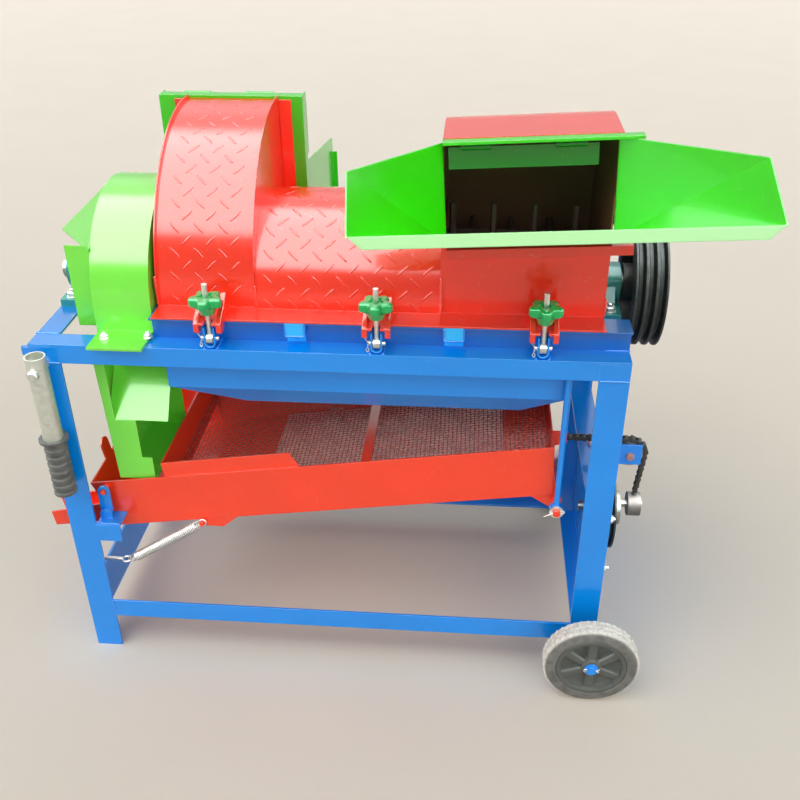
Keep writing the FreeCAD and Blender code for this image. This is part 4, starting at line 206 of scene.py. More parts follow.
def enamel(name, shade, edge=1.0, roughness=0.24, dirt=0.2, edge_tone=1.5, edge_width=1.6,
           throat=None, bands=()):
    """Gloss enamel on rolled steel. It looks wet and a little wavy, and along the edges it has a brighter
    line that is partly worn paint and partly painted highlight. It holds a faint film of dust. A throat is
    darkened brown where it is deep behind its front wall: partly straw stain, partly painted shade.
    A band across one axis, from its middle and half width, has another colour; on the hopper lip
    that band is a painted reflection of the sky, on the casing it gives the lighter straps."""
    material, tree, shader, place = new_finish(name, roughness, coat=0.35, coat_roughness=0.06)
    shader.inputs["Coat IOR"].default_value = 1.5
    cloud = noise(tree, place, 120)
    base = add(tree, "ShaderNodeMix",
               {0: add(tree, "ShaderNodeMath", {0: cloud, 1: 0.22}, operation="MULTIPLY").outputs[0],
                6: opaque(shade), 7: toned(shade, 0.72)}, data_type="RGBA").outputs[2]
    spot = add(tree, "ShaderNodeSeparateXYZ", {0: place}).outputs
    # Bands take another colour: on the hopper lip a painted reflection of the sky, on the casing the lighter
    # straps.
    for axis, middle, half, paint in bands:
        inside = add(tree, "ShaderNodeMath", {
            0: spot[axis], 1: middle, 2: half}, operation="COMPARE").outputs[0]
        base = add(tree, "ShaderNodeMix", {0: inside, 6: base, 7: opaque(paint)}, data_type="RGBA").outputs[2]
    speck = noise(tree, place, 5, 4.0, 0.62, 0.74)
    patches = add(tree, "ShaderNodeMath", {0: noise(tree, place, 45, 5.0, 0.45, 0.75), 1: speck},
                  operation="MULTIPLY").outputs[0]
    film = add(tree, "ShaderNodeMath", {0: patches, 1: dirt}, operation="MULTIPLY").outputs[0]
    base = add(tree, "ShaderNodeMix", {0: film, 6: base, 7: (0.55, 0.52, 0.47, 1.0)},
               data_type="RGBA").outputs[2]
    # Ambient occlusion darkens the deep inside behind the front wall to brown: partly straw stain, partly
    # painted shade.
    if throat is not None:
        near = add(tree, "ShaderNodeAmbientOcclusion", {"Distance": 0.2}, samples=6).outputs["AO"]
        deep = add(tree, "ShaderNodeMapRange", {
            "Value": near, "From Min": 0.92, "From Max": 0.68}).outputs["Result"]
        behind = add(tree, "ShaderNodeMath", {0: spot["Y"], 1: at(0, FEED_WALL, 0).y},
                     operation="GREATER_THAN").outputs[0]
        stain_and_shade = add(tree, "ShaderNodeMath",
                      {0: deep,
                       1: add(tree, "ShaderNodeMath", {0: behind, 1: 0.95}, operation="MULTIPLY").outputs[0]},
                      operation="MULTIPLY").outputs[0]
        base = add(tree, "ShaderNodeMix", {0: stain_and_shade, 6: base, 7: opaque(throat)},
                   data_type="RGBA").outputs[2]
    # Corners get a lighter tone of the paint: partly worn enamel, partly painted highlight along the edges.
    corner, rounded = edge_mask(tree, edge_width)
    rubbed_and_lit = add(tree, "ShaderNodeMath", {0: corner, 1: noise(tree, place, 14, 3.0, 0.3, 0.6)},
                 operation="MULTIPLY").outputs[0]
    wear_and_highlight = add(tree, "ShaderNodeMath", {0: rubbed_and_lit, 1: 0.55 * edge}, operation="MULTIPLY").outputs[0]
    lighter = tuple(min(1.0, part * edge_tone + 0.12) for part in shade)
    base = add(tree, "ShaderNodeMix", {0: wear_and_highlight, 6: base, 7: opaque(lighter)}, data_type="RGBA").outputs[2]
    tree.links.new(base, shader.inputs["Base Color"])
    peel = noise(tree, place, 3.2, 1.0, 0.0, 1.0)
    wave = noise(tree, place, 38, 1.0, 0.0, 1.0)
    height = add(tree, "ShaderNodeMath",
                 {0: add(tree, "ShaderNodeMath", {0: wave, 1: 6.0}, operation="MULTIPLY").outputs[0],
                  1: peel}, operation="ADD").outputs[0]
    bump = add(tree, "ShaderNodeBump", {
        "Strength": 0.35, "Distance": 0.12 * MM, "Height": height, "Normal": rounded})
    tree.links.new(bump.outputs[0], shader.inputs["Normal"])
    return material


def metal(name, shade, roughness, spread=0.12, grain=2.0, metallic=1.0):
    """Bare or plated metal: it mirrors the room softly, uneven where hands and oil touched it."""
    material, tree, shader, place = new_finish(name, roughness, metallic)
    cloud = noise(tree, place, 12, 4.0)
    base = add(tree, "ShaderNodeMix", {0: cloud, 6: toned(shade, 0.78), 7: opaque(shade)},
               data_type="RGBA").outputs[2]
    tree.links.new(base, shader.inputs["Base Color"])
    rough = add(tree, "ShaderNodeMath",
                {0: add(tree, "ShaderNodeMath", {0: noise(tree, place, 6, 4.0), 1: spread},
                        operation="MULTIPLY").outputs[0], 1: roughness}, operation="ADD").outputs[0]
    tree.links.new(rough, shader.inputs["Roughness"])
    fine = noise(tree, place, grain, 3.0, 0.0, 1.0)
    _, rounded = edge_mask(tree, 0.6)
    bump = add(tree, "ShaderNodeBump", {
        "Strength": 0.3, "Distance": 0.08 * MM, "Height": fine, "Normal": rounded})
    tree.links.new(bump.outputs[0], shader.inputs["Normal"])
    return material


def galvanised(name, shade):
    """Hot dipped zinc on tube: pale, dull, with spangles of slightly different grey."""
    material, tree, shader, place = new_finish(name, 0.42, 0.75)
    spangle = add(tree, "ShaderNodeTexVoronoi", {"Vector": place, "Scale": 1 / (9 * MM)})
    grey = add(tree, "ShaderNodeRGBToBW", {"Color": spangle.outputs["Color"]}).outputs[0]
    base = add(tree, "ShaderNodeMix",
               {0: add(tree, "ShaderNodeMath", {0: grey, 1: 0.6}, operation="MULTIPLY").outputs[0],
                6: opaque(shade), 7: toned(shade, 0.7)}, data_type="RGBA").outputs[2]
    tree.links.new(base, shader.inputs["Base Color"])
    rough = add(tree, "ShaderNodeMath",
                {0: add(tree, "ShaderNodeMath", {0: grey, 1: 0.16}, operation="MULTIPLY").outputs[0],
                 1: 0.34}, operation="ADD").outputs[0]
    tree.links.new(rough, shader.inputs["Roughness"])
    return material


def punched_sheet(name, shade):
    """Galvanised sheet with slanted punched slots: pale, partly as painted sunlight through the screen, with
    dark hatching 6 mm apart.
    """
    material, tree, shader, place = new_finish(name, 0.4, 0.25)
    turned = add(tree, "ShaderNodeMapping", {
        "Vector": place, "Rotation": (0, 0, math.radians(38))}).outputs[0]
    stripes = add(tree, "ShaderNodeTexWave", {
        "Vector": turned, "Scale": 1 / (6 * MM) / 3.2, "Distortion": 1.5, "Detail": 1.0,
        "Detail Scale": 2.0}).outputs["Fac"]
    slots = add(tree, "ShaderNodeMapRange", {
        "Value": stripes, "From Min": 0.28, "From Max": 0.12}).outputs["Result"]
    broken = add(tree, "ShaderNodeMath", {0: slots, 1: noise(tree, place, 7, 1.0, 0.42, 0.5)},
                 operation="MULTIPLY").outputs[0]
    base = add(tree, "ShaderNodeMix", {0: broken, 6: opaque(shade), 7: (0.10, 0.03, 0.025, 1.0)},
               data_type="RGBA").outputs[2]
    tree.links.new(base, shader.inputs["Base Color"])
    bump = add(tree, "ShaderNodeBump", {"Strength": 0.6, "Distance": 0.001, "Height": stripes}).outputs[0]
    tree.links.new(bump, shader.inputs["Normal"])
    return material


def rubber(name, shade, dust, centre=None, reach=0.0, film=0.35):
    """Moulded rubber: nearly matt, greyed by dust, which lies thick on a tread."""
    material, tree, shader, place = new_finish(name, 0.72)
    shader.inputs["IOR"].default_value = 1.52
    cloud = add(tree, "ShaderNodeMath", {0: noise(tree, place, 18, 5.0, 0.35, 0.7), 1: film},
                operation="MULTIPLY").outputs[0]
    if centre is not None:
        away = add(tree, "ShaderNodeVectorMath", {
            0: place, 1: tuple(centre)}, operation="SUBTRACT").outputs[0]
        flat = add(tree, "ShaderNodeVectorMath", {0: away, 1: (1, 0, 1)}, operation="MULTIPLY").outputs[0]
        far = add(tree, "ShaderNodeVectorMath", {0: flat}, operation="LENGTH").outputs["Value"]
        tread = add(tree, "ShaderNodeMapRange", {"Value": far, "From Min": reach - 4 * MM,
                                                 "From Max": reach}).outputs["Result"]
        patch = noise(tree, place, 7, 5.0, 0.25, 0.6)
        thick = add(tree, "ShaderNodeMapRange", {
            "Value": patch, "To Min": 0.55, "To Max": 1.0}).outputs["Result"]
        cloud = add(tree, "ShaderNodeMath",
                    {0: cloud,
                     1: add(tree, "ShaderNodeMath", {0: tread, 1: thick}, operation="MULTIPLY").outputs[0]},
                    operation="MAXIMUM").outputs[0]
    base = add(tree, "ShaderNodeMix", {0: cloud, 6: opaque(shade), 7: opaque(dust)},
               data_type="RGBA").outputs[2]
    tree.links.new(base, shader.inputs["Base Color"])
    pebble = noise(tree, place, 1.6, 3.0, 0.0, 1.0)
    _, rounded = edge_mask(tree, 0.8)
    bump = add(tree, "ShaderNodeBump", {
        "Strength": 0.5, "Distance": 0.2 * MM, "Height": pebble, "Normal": rounded})
    tree.links.new(bump.outputs[0], shader.inputs["Normal"])
    return material


def plastic(name, shade, roughness, glossy=0.0):
    """Injection moulded plastic: even colour, soft gloss, fine moulding grain."""
    material, tree, shader, place = new_finish(name, roughness, coat=glossy)
    shader.inputs["IOR"].default_value = 1.49
    cloud = add(tree, "ShaderNodeMath", {0: noise(tree, place, 20, 3.0), 1: 0.25},
                operation="MULTIPLY").outputs[0]
    base = add(tree, "ShaderNodeMix", {0: cloud, 6: opaque(shade), 7: toned(shade, 0.75)},
               data_type="RGBA").outputs[2]
    # Corners get a lighter tone: partly scuffs, partly painted highlight along the edges.
    corner, rounded = edge_mask(tree, 0.9)
    base = add(tree, "ShaderNodeMix",
               {0: add(tree, "ShaderNodeMath", {0: corner, 1: 0.25}, operation="MULTIPLY").outputs[0],
                6: base, 7: toned(shade, 1.5)}, data_type="RGBA").outputs[2]
    tree.links.new(base, shader.inputs["Base Color"])
    grain = noise(tree, place, 0.9, 2.0, 0.0, 1.0)
    bump = add(tree, "ShaderNodeBump", {
        "Strength": 0.2, "Distance": 0.1 * MM, "Height": grain, "Normal": rounded})
    tree.links.new(bump.outputs[0], shader.inputs["Normal"])
    return material


def cast_iron(name, shade):
    """Sand cast iron under oil and worn black paint: rough skin, bright where the belts run."""
    material, tree, shader, place = new_finish(name, 0.48, 0.55)
    corner, rounded = edge_mask(tree, 1.4)
    base = add(tree, "ShaderNodeMix", {0: noise(tree, place, 9, 5.0), 6: opaque(shade), 7: toned(shade, 1.9)},
               data_type="RGBA").outputs[2]
    base = add(tree, "ShaderNodeMix",
               {0: add(tree, "ShaderNodeMath", {0: corner, 1: 0.6}, operation="MULTIPLY").outputs[0], 6: base,
                7: (0.30, 0.31, 0.30, 1.0)}, data_type="RGBA").outputs[2]
    tree.links.new(base, shader.inputs["Base Color"])
    sand = noise(tree, place, 1.8, 4.0, 0.0, 1.0)
    bump = add(tree, "ShaderNodeBump", {
        "Strength": 0.6, "Distance": 0.3 * MM, "Height": sand, "Normal": rounded})
    tree.links.new(bump.outputs[0], shader.inputs["Normal"])
    return material


def concrete(name, shade):
    """Plain pale concrete floor with a faint cloud."""
    material, tree, shader, place = new_finish(name, 0.9)
    cloud = add(tree, "ShaderNodeMath", {0: noise(tree, place, 400, 5.0), 1: 0.3},
                operation="MULTIPLY").outputs[0]
    base = add(tree, "ShaderNodeMix", {0: cloud, 6: opaque(shade), 7: toned(shade, 0.93)},
               data_type="RGBA").outputs[2]
    tree.links.new(base, shader.inputs["Base Color"])
    return material


FINISHES = {}


def make_finishes(shades):
    """Every finish of the machine, by the name of its colour."""
    wheel_centre = at(WHEEL_ACROSS, 0, WHEEL_RADIUS)
    FINISHES.update({
        "frame_blue": enamel("Blue enamel on angle iron", shades.frame_blue, dirt=0.08),
        "cover_red": enamel("Red enamel on checker plate", shades.cover_red, dirt=0.35),
        # Feed box: red enamel whose throat is darkened brown, partly stain and partly painted shade.
        "throat_stained_shaded_red": enamel("Red enamel with straw stain and painted shade", shades.cover_red, dirt=0.35,
                             throat=shades.throat),
        "drum_brown": enamel("Worn paint on the drum", shades.drum_brown, roughness=0.5),
        "tray_red": enamel("Red enamel on the tray", shades.tray_red, edge=0.8),
        # The casing's darker blue is partly painted shade from the flange above.
        "casing_shaded_blue": enamel("Darker blue enamel with painted shade on the casing", shades.casing_shaded_blue, dirt=0.08, bands=[
            ("X", at(middle, 0, 0).x, 15.6 * MM, shades.strap_blue) for middle in CASING_STRAPS]),
        # On the hopper the wide pale edge lines are partly painted highlight, and the band on the lip front
        # is a painted reflection of the sky.
        "hopper_green": enamel("Green enamel on the hopper", shades.hopper_green, edge=1.4, edge_tone=2.2,
                               edge_width=2.6,
                               bands=[("Y", at(0, LIP_FRONT, 0).y, 1.6 * MM, shades.lip_painted_sheen)]),
        # The flap's dark green is painted shade.
        "flap_shaded_green": enamel("Green enamel with painted shade on the flap", shades.flap_shaded_green),
        "fan_green": enamel("Light green enamel on the fan", shades.fan_green, edge=0.9),
        "bearing_teal": enamel("Factory paint on cast bearings", shades.bearing_teal, roughness=0.4),
        "pulley_black": cast_iron("Oiled cast iron", shades.pulley_black),
        "steel": metal("Turned steel", shades.steel, 0.3),
        "dull_steel": metal("Dull turned steel", shades.dull_steel, 0.46, metallic=0.8),
        "chain": metal("Oiled chain steel", shades.chain, 0.34, metallic=0.85),
        "zinc": metal("Zinc plated steel", shades.zinc, 0.28, metallic=0.8),
        "tube": galvanised("Galvanised tube", shades.tube),
        "screen": metal("Galvanised screen wire", shades.screen, 0.4, metallic=0.5),
        # The sieve's pale colour is partly painted sunlight.
        "sieve": punched_sheet("Punched sieve sheet", shades.sieve),
        "tyre": rubber("Solid tyre rubber", shades.tyre, shades.dust, wheel_centre, 0.0872, 0.12),
        "grip": rubber("Grip rubber", shades.grip, shades.dust, film=0.12),
        "wheel": plastic("Wheel disc plastic", shades.wheel, 0.55),
        "knob": plastic("Green knob plastic", shades.knob, 0.28, 0.3),
        "primer": metal("Primed bolt head", shades.primer, 0.5, metallic=0.2),
    })


NODE_FINISH = {
    "frame_blue": ("left_legs right_legs top_long_rails top_cross_rails lower_long_rails lower_cross_rails "
                   "crank_rail side_panel frame_brackets roller_bracket wheel_axles "
                   "concave_grate grain_funnel clamp_lugs hangers rockers"),
    "casing_shaded_blue": "lower_casing",
    "cover_red": "thrower_housing drum_cover thrower_paddles clamp_forks",
    "throat_stained_shaded_red": "feed_box",
    "drum_brown": "threshing_drum",
    "dull_steel": "connecting_ring",
    "tray_red": "screen_tray",
    "flap_shaded_green": "hopper_flap",
    "hopper_green": "hopper outlet_collar outlet_hood outlet_chute fan_impeller",
    "fan_green": "blower_housing blower_inlet air_duct",
    "bearing_teal": "main_bearings crank_bearing",
    "pulley_black": "drive_pulley crank_pulley",
    "steel": "main_shaft crank_shaft chain_roller",
    "chain": "pull_chain",
    "zinc": "tension_spring swing_bolt_1 swing_bolt_2 swing_bolt_3 spring_eye_bolt handle_bolts",
    "tube": "handle_tube_front handle_tube_rear",
    "grip": "handle_grip_front handle_grip_rear",
    "screen": "screen_mesh",
    "tyre": "tyre_front tyre_rear",
    "wheel": "rim_front rim_rear",
    "knob": "clamp_knob_1 clamp_knob_2 clamp_knob_3",
}


class Piece:
    """A mesh that is put together from simple forms and then given to a body."""

    def __init__(self, name, *finishes):
        self.name = name
        self.finishes = finishes
        self.mesh = bmesh.new()
        self.paint = 0

    def face(self, corners):
        made = self.mesh.faces.new(corners)
        made.material_index = self.paint
        return made

    def skin(self, rings, capped=True, joined=False):
        """Faces between rings of points. The ends are capped, or joined to each other."""
        rows = [[self.mesh.verts.new(point) for point in ring] for ring in rings]
        pairs = list(zip(rows, rows[1:]))
        if joined:
            pairs.append((rows[-1], rows[0]))
        for low, high in pairs:
            for here in range(len(low)):
                there = (here + 1) % len(low)
                self.face((low[here], low[there], high[there], high[here]))
        if capped and not joined:
            self.face(rows[0][::-1])
            self.face(rows[-1])

    def turned(self, start, axis, profile, steps=32, first=0.0, closed=False):
        """A turned form. The profile gives how far along the axis and how far from it, in mm."""
        line, side, up = directions(axis)
        rings = []
        for along, radius in profile:
            middle = start + line * along * MM
            rings.append([
                middle + (side * math.cos(turn) + up * math.sin(turn)) * max(radius, 1e-4) * MM
                for turn in (first + math.tau * step / steps for step in range(steps))
            ])
        self.skin(rings, capped=not closed, joined=closed)

    def swept(self, points, radius, steps=8, flat=1.0, joined=False):
        """A rod that follows a line of points. Flat presses its section thinner."""
        rings, side = [], None
        count = len(points)
        for here in range(count):
            before = points[here - 1] if here or joined else points[0]
            after = points[(here + 1) % count] if here < count - 1 or joined else points[-1]
            line = (after - before).normalized()
            if side is None:
                side = directions(line)[1]
            side = (side - line * side.dot(line)).normalized()
            up = line.cross(side)
            rings.append([
                points[here] + (side * math.cos(turn) + up * math.sin(turn) * flat) * radius * MM
                for turn in (math.tau * step / steps for step in range(steps))
            ])
        self.skin(rings, joined=joined)

    def plate(self, outline, depth):
        """A flat piece: its outline, and the way that it is thick."""
        self.skin([outline, [point + depth for point in outline]])

    def nut(self, start, axis, across_flats, height, bolt=0.0):
        """A hexagon nut or bolt head on its washer, with chamfered corners."""
        corner = across_flats / math.sqrt(3)
        wide = across_flats * 0.62
        washer, chamfer = 1.4, 0.6
        top = washer + height
        self.turned(start, axis, [(0, wide), (washer, wide)], 24)
        self.turned(start, axis, [(washer, corner * 0.95), (washer + chamfer, corner),
                                  (top - chamfer * 1.5, corner), (top, corner * 0.86)], 6)
        if bolt:
            thread = across_flats * 0.29
            self.turned(start, axis, [(top, thread), (top + bolt, thread),
                                      (top + bolt + chamfer, across_flats * 0.24)], 16)

    def finish(self, body, bevel=0.0, sharp=35, segments=2):
        """Close the mesh, give it its finishes and let it ride on a body."""
        bmesh.ops.remove_doubles(self.mesh, verts=self.mesh.verts, dist=1e-6)
        bmesh.ops.dissolve_degenerate(self.mesh, edges=self.mesh.edges, dist=1e-7)
        bmesh.ops.recalc_face_normals(self.mesh, faces=self.mesh.faces)
        data = bpy.data.meshes.new(self.name)
        self.mesh.to_mesh(data)
        self.mesh.free()
        data.shade_smooth()
        data.set_sharp_from_angle(angle=math.radians(sharp))
        item = bpy.data.objects.new(self.name, data)
        return settle(item, body, self.finishes, bevel, segments)


def settle(item, body, finishes, bevel=0.0, segments=2):
    """Link a piece, paint it, round its edges and let it ride."""
    bpy.context.scene.collection.objects.link(item)
    item.data.materials.clear()
    for name in finishes:
        item.data.materials.append(FINISHES[name])
    if bevel:
        rounding = item.modifiers.new("Rounded edges", "BEVEL")
        rounding.width = bevel * MM
        rounding.segments = segments
        rounding.limit_method = "ANGLE"
        rounding.angle_limit = math.radians(40)
    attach(item, body)
    return item


def directions(axis):
    """An axis and two directions square to it."""
    line = Vector(axis).normalized()
    helper = Vector((0, 0, 1)) if abs(line.z) < 0.9 else Vector((0, 1, 0))
    side = line.cross(helper).normalized()
    return line, side, line.cross(side)


def new_tree(name, inputs):
    """A geometry tree with named inputs, and its first and last nodes."""
    tree = bpy.data.node_groups.new(name, "GeometryNodeTree")
    tree.interface.new_socket(name="Geometry", in_out="INPUT", socket_type="NodeSocketGeometry")
    for label, kind in inputs.items():
        tree.interface.new_socket(name=label, in_out="INPUT", socket_type=kind)
    tree.interface.new_socket(name="Geometry", in_out="OUTPUT", socket_type="NodeSocketGeometry")
    return tree, tree.nodes.new("NodeGroupInput").outputs, tree.nodes.new("NodeGroupOutput").inputs


def end_tree(tree, geometry, finish, last):
    """Every tree ends as real faces in their finish."""
    real = add(tree, "GeometryNodeRealizeInstances", {"Geometry": geometry})
    smooth = add(tree, "GeometryNodeSetShadeSmooth", {"Geometry": real.outputs[0]})
    painted = add(tree, "GeometryNodeSetMaterial", {"Geometry": smooth.outputs[0], "Material": finish})
    tree.links.new(painted.outputs[0], last["Geometry"])


def grown(name, tree, values, body, finish, start=None):
    """Run a geometry tree, keep the mesh that it makes, and let the piece ride."""
    base = start or bpy.data.meshes.new(name + "_base")
    item = bpy.data.objects.new(name, base)
    bpy.context.scene.collection.objects.link(item)
    modifier = item.modifiers.new("Pattern", "NODES")
    modifier.node_group = tree
    sockets = {socket.name: socket.identifier for socket in tree.interface.items_tree
               if socket.item_type == "SOCKET" and socket.in_out == "INPUT"}
    for label, value in {**values, "Finish": FINISHES[finish]}.items():
        modifier[sockets[label]] = value
    graph = bpy.context.evaluated_depsgraph_get()
    made = bpy.data.meshes.new_from_object(item.evaluated_get(graph), depsgraph=graph)
    item.modifiers.remove(modifier)
    item.data = made
    made.name = name
    if not len(made.polygons):
        raise RuntimeError(f"{name} came out empty")
    bpy.context.scene.collection.objects.unlink(item)
    return settle(item, body, (finish,))


def tread_tree():
    """Checker plate: rows of raised bars that lean to one side and the other, bent round an arc."""
    tree, given, last = new_tree("Checker plate", {
        "Across": "NodeSocketFloat", "Along": "NodeSocketFloat", "Pitch": "NodeSocketFloat",
        "Bar": "NodeSocketVector", "Centre": "NodeSocketVector", "Radius": "NodeSocketFloat",
        "Turn": "NodeSocketFloat", "Start": "NodeSocketFloat", "Finish": "NodeSocketMaterial"})

    half = add(tree, "ShaderNodeMath", {0: given["Pitch"], 1: 2.0}, operation="DIVIDE").outputs[0]
    columns = add(tree, "ShaderNodeMath", {0: given["Across"], 1: given["Pitch"]},
                  operation="DIVIDE").outputs[0]
    columns = add(tree, "ShaderNodeMath", {0: columns}, operation="FLOOR").outputs[0]
    rows = add(tree, "ShaderNodeMath", {0: given["Along"], 1: half}, operation="DIVIDE").outputs[0]
    rows = add(tree, "ShaderNodeMath", {0: rows}, operation="FLOOR").outputs[0]
    grid = add(tree, "GeometryNodeMeshGrid", {
        "Size X": add(tree, "ShaderNodeMath",
                      {0: add(tree, "ShaderNodeMath", {0: columns, 1: 1.0}, operation="SUBTRACT").outputs[0],
                       1: given["Pitch"]}, operation="MULTIPLY").outputs[0],
        "Size Y": add(tree, "ShaderNodeMath",
                      {0: add(tree, "ShaderNodeMath", {0: rows, 1: 1.0}, operation="SUBTRACT").outputs[0],
                       1: half}, operation="MULTIPLY").outputs[0],
        "Vertices X": columns, "Vertices Y": rows}).outputs["Mesh"]
    here = add(tree, "ShaderNodeSeparateXYZ", {0: add(tree, "GeometryNodeInputPosition").outputs[0]}).outputs
    quarter = add(tree, "ShaderNodeMath", {0: half, 1: 2.0}, operation="DIVIDE").outputs[0]
    low = add(tree, "ShaderNodeMath",
              {0: add(tree, "ShaderNodeMath", {0: rows, 1: 1.0}, operation="SUBTRACT").outputs[0],
               1: quarter}, operation="MULTIPLY").outputs[0]
    row = add(tree, "ShaderNodeMath",
              {0: add(tree, "ShaderNodeMath", {0: here["Y"], 1: low}, operation="ADD").outputs[0], 1: half},
              operation="DIVIDE").outputs[0]
    row = add(tree, "ShaderNodeMath", {0: row}, operation="ROUND").outputs[0]
    odd = add(tree, "ShaderNodeMath", {0: row, 1: 2.0}, operation="MODULO").outputs[0]
    lean = add(tree, "ShaderNodeMath",
               {0: add(tree, "ShaderNodeMath", {0: odd, 1: 2.0}, operation="MULTIPLY").outputs[0], 1: 1.0},
               operation="SUBTRACT").outputs[0]
    shift = add(tree, "ShaderNodeMath", {0: lean, 1: quarter}, operation="MULTIPLY").outputs[0]
    step = add(tree, "ShaderNodeCombineXYZ", {0: shift}).outputs[0]
    staggered = add(tree, "GeometryNodeSetPosition", {"Geometry": grid, "Offset": step}).outputs[0]
    slant = add(tree, "ShaderNodeMath", {0: lean, 1: math.radians(45)}, operation="MULTIPLY").outputs[0]
    turn = add(tree, "ShaderNodeCombineXYZ", {2: slant}).outputs[0]
    ball = add(tree, "GeometryNodeMeshUVSphere", {"Segments": 10, "Rings": 6, "Radius": 1.0}).outputs["Mesh"]
    bar = add(tree, "GeometryNodeTransform", {"Geometry": ball, "Scale": given["Bar"]}).outputs[0]
    bars = add(tree, "GeometryNodeInstanceOnPoints", {"Points": staggered, "Instance": bar, "Rotation": turn})
    flat = add(tree, "GeometryNodeRealizeInstances", {"Geometry": bars.outputs[0]}).outputs[0]
    point = add(tree, "ShaderNodeSeparateXYZ", {0: add(tree, "GeometryNodeInputPosition").outputs[0]}).outputs
    gone = add(tree, "ShaderNodeMath",
               {0: add(tree, "ShaderNodeMath", {0: point["Y"], 1: low}, operation="ADD").outputs[0],
                1: given["Start"]}, operation="ADD").outputs[0]
    angle = add(tree, "ShaderNodeMath",
                {0: add(tree, "ShaderNodeMath", {0: gone, 1: given["Radius"]}, operation="DIVIDE").outputs[0],
                 1: given["Turn"]}, operation="MINIMUM").outputs[0]
    arc = add(tree, "ShaderNodeMath", {0: given["Radius"], 1: given["Turn"]}, operation="MULTIPLY").outputs[0]
    beyond = add(tree, "ShaderNodeMath",
                 {0: add(tree, "ShaderNodeMath", {0: gone, 1: arc}, operation="SUBTRACT").outputs[0], 1: 0.0},
                 operation="MAXIMUM").outputs[0]
    reach = add(tree, "ShaderNodeMath", {0: given["Radius"], 1: point["Z"]}, operation="ADD").outputs[0]
    cosine = add(tree, "ShaderNodeMath", {0: angle}, operation="COSINE").outputs[0]
    sine = add(tree, "ShaderNodeMath", {0: angle}, operation="SINE").outputs[0]
    bent = add(tree, "ShaderNodeCombineXYZ", {
        "X": point["X"],
        "Y": add(tree, "ShaderNodeMath",
                 {0: beyond,
                  1: add(tree, "ShaderNodeMath", {0: reach, 1: cosine}, operation="MULTIPLY").outputs[0]},
                 operation="SUBTRACT").outputs[0],
        "Z": add(tree, "ShaderNodeMath", {0: reach, 1: sine}, operation="MULTIPLY").outputs[0]}).outputs[0]
    placed = add(tree, "ShaderNodeVectorMath", {0: bent, 1: given["Centre"]}, operation="ADD").outputs[0]
    rolled = add(tree, "GeometryNodeSetPosition", {"Geometry": flat, "Position": placed}).outputs[0]
    end_tree(tree, rolled, given["Finish"], last)
    return tree


def woven_tree():
    """Woven wire: two sets of wires that pass over and under each other, laid on a slope."""
    tree, given, last = new_tree("Woven screen", {
        "Along": "NodeSocketFloat", "Across": "NodeSocketFloat", "Pitch": "NodeSocketFloat",
        "Wire": "NodeSocketFloat", "Start": "NodeSocketVector", "Slope": "NodeSocketVector",
        "Finish": "NodeSocketMaterial"})

    profile = add(tree, "GeometryNodeCurvePrimitiveCircle", {
        "Resolution": 4, "Radius": given["Wire"]}).outputs[0]
    sets = []
    for run, rise, sign in (("X", "Y", 1.0), ("Y", "X", -1.0)):
        long, short = (given["Along"], given["Across"]) if run == "X" else (given["Across"], given["Along"])
        end = add(tree, "ShaderNodeCombineXYZ", {run: long}).outputs[0]
        line = add(tree, "GeometryNodeCurvePrimitiveLine", {"End": end}).outputs[0]
        bends = add(tree, "ShaderNodeMath",
                    {0: add(tree, "ShaderNodeMath", {0: long, 1: given["Pitch"]},
                            operation="DIVIDE").outputs[0], 1: 2.0}, operation="MULTIPLY").outputs[0]
        wire = add(tree, "GeometryNodeResampleCurve", {
            "Curve": line,
            "Count": add(tree, "ShaderNodeMath", {0: bends, 1: 1.0}, operation="ADD").outputs[0]}).outputs[0]
        step = add(tree, "ShaderNodeCombineXYZ", {rise: given["Pitch"]}).outputs[0]
        count = add(tree, "ShaderNodeMath",
                    {0: add(tree, "ShaderNodeMath", {0: short, 1: given["Pitch"]},
                            operation="DIVIDE").outputs[0], 1: 1.0}, operation="ADD").outputs[0]
        posts = add(tree, "GeometryNodeMeshLine", {"Count": count, "Offset": step}).outputs[0]
        rows = add(tree, "GeometryNodeInstanceOnPoints", {"Points": posts, "Instance": wire}).outputs[0]
        rows = add(tree, "GeometryNodeRealizeInstances", {"Geometry": rows}).outputs[0]
        position = add(tree, "GeometryNodeInputPosition").outputs[0]
        here = add(tree, "ShaderNodeSeparateXYZ", {0: position}).outputs
        waves = []
        for letter in "XY":
            wires = add(tree, "ShaderNodeMath", {0: here[letter], 1: given["Pitch"]},
                        operation="DIVIDE").outputs[0]
            phase = add(tree, "ShaderNodeMath", {0: wires, 1: math.pi}, operation="MULTIPLY").outputs[0]
            waves.append(add(tree, "ShaderNodeMath", {0: phase}, operation="COSINE").outputs[0])
        weave = add(tree, "ShaderNodeMath", {0: waves[0], 1: waves[1]}, operation="MULTIPLY").outputs[0]
        lift = add(tree, "ShaderNodeMath",
                   {0: add(tree, "ShaderNodeMath", {0: weave, 1: given["Wire"]},
                           operation="MULTIPLY").outputs[0], 1: sign}, operation="MULTIPLY").outputs[0]
        offset = add(tree, "ShaderNodeCombineXYZ", {"Z": lift}).outputs[0]
        woven = add(tree, "GeometryNodeSetPosition", {"Geometry": rows, "Offset": offset}).outputs[0]
        sets.append(add(tree, "GeometryNodeCurveToMesh", {
            "Curve": woven, "Profile Curve": profile}).outputs[0])
    both = add(tree, "GeometryNodeJoinGeometry", {"Geometry": sets[0]})
    tree.links.new(sets[1], both.inputs["Geometry"])
    laid = add(tree, "GeometryNodeTransform", {"Geometry": both.outputs[0], "Translation": given["Start"],
                                               "Rotation": given["Slope"]}).outputs[0]
    end_tree(tree, laid, given["Finish"], last)
    return tree


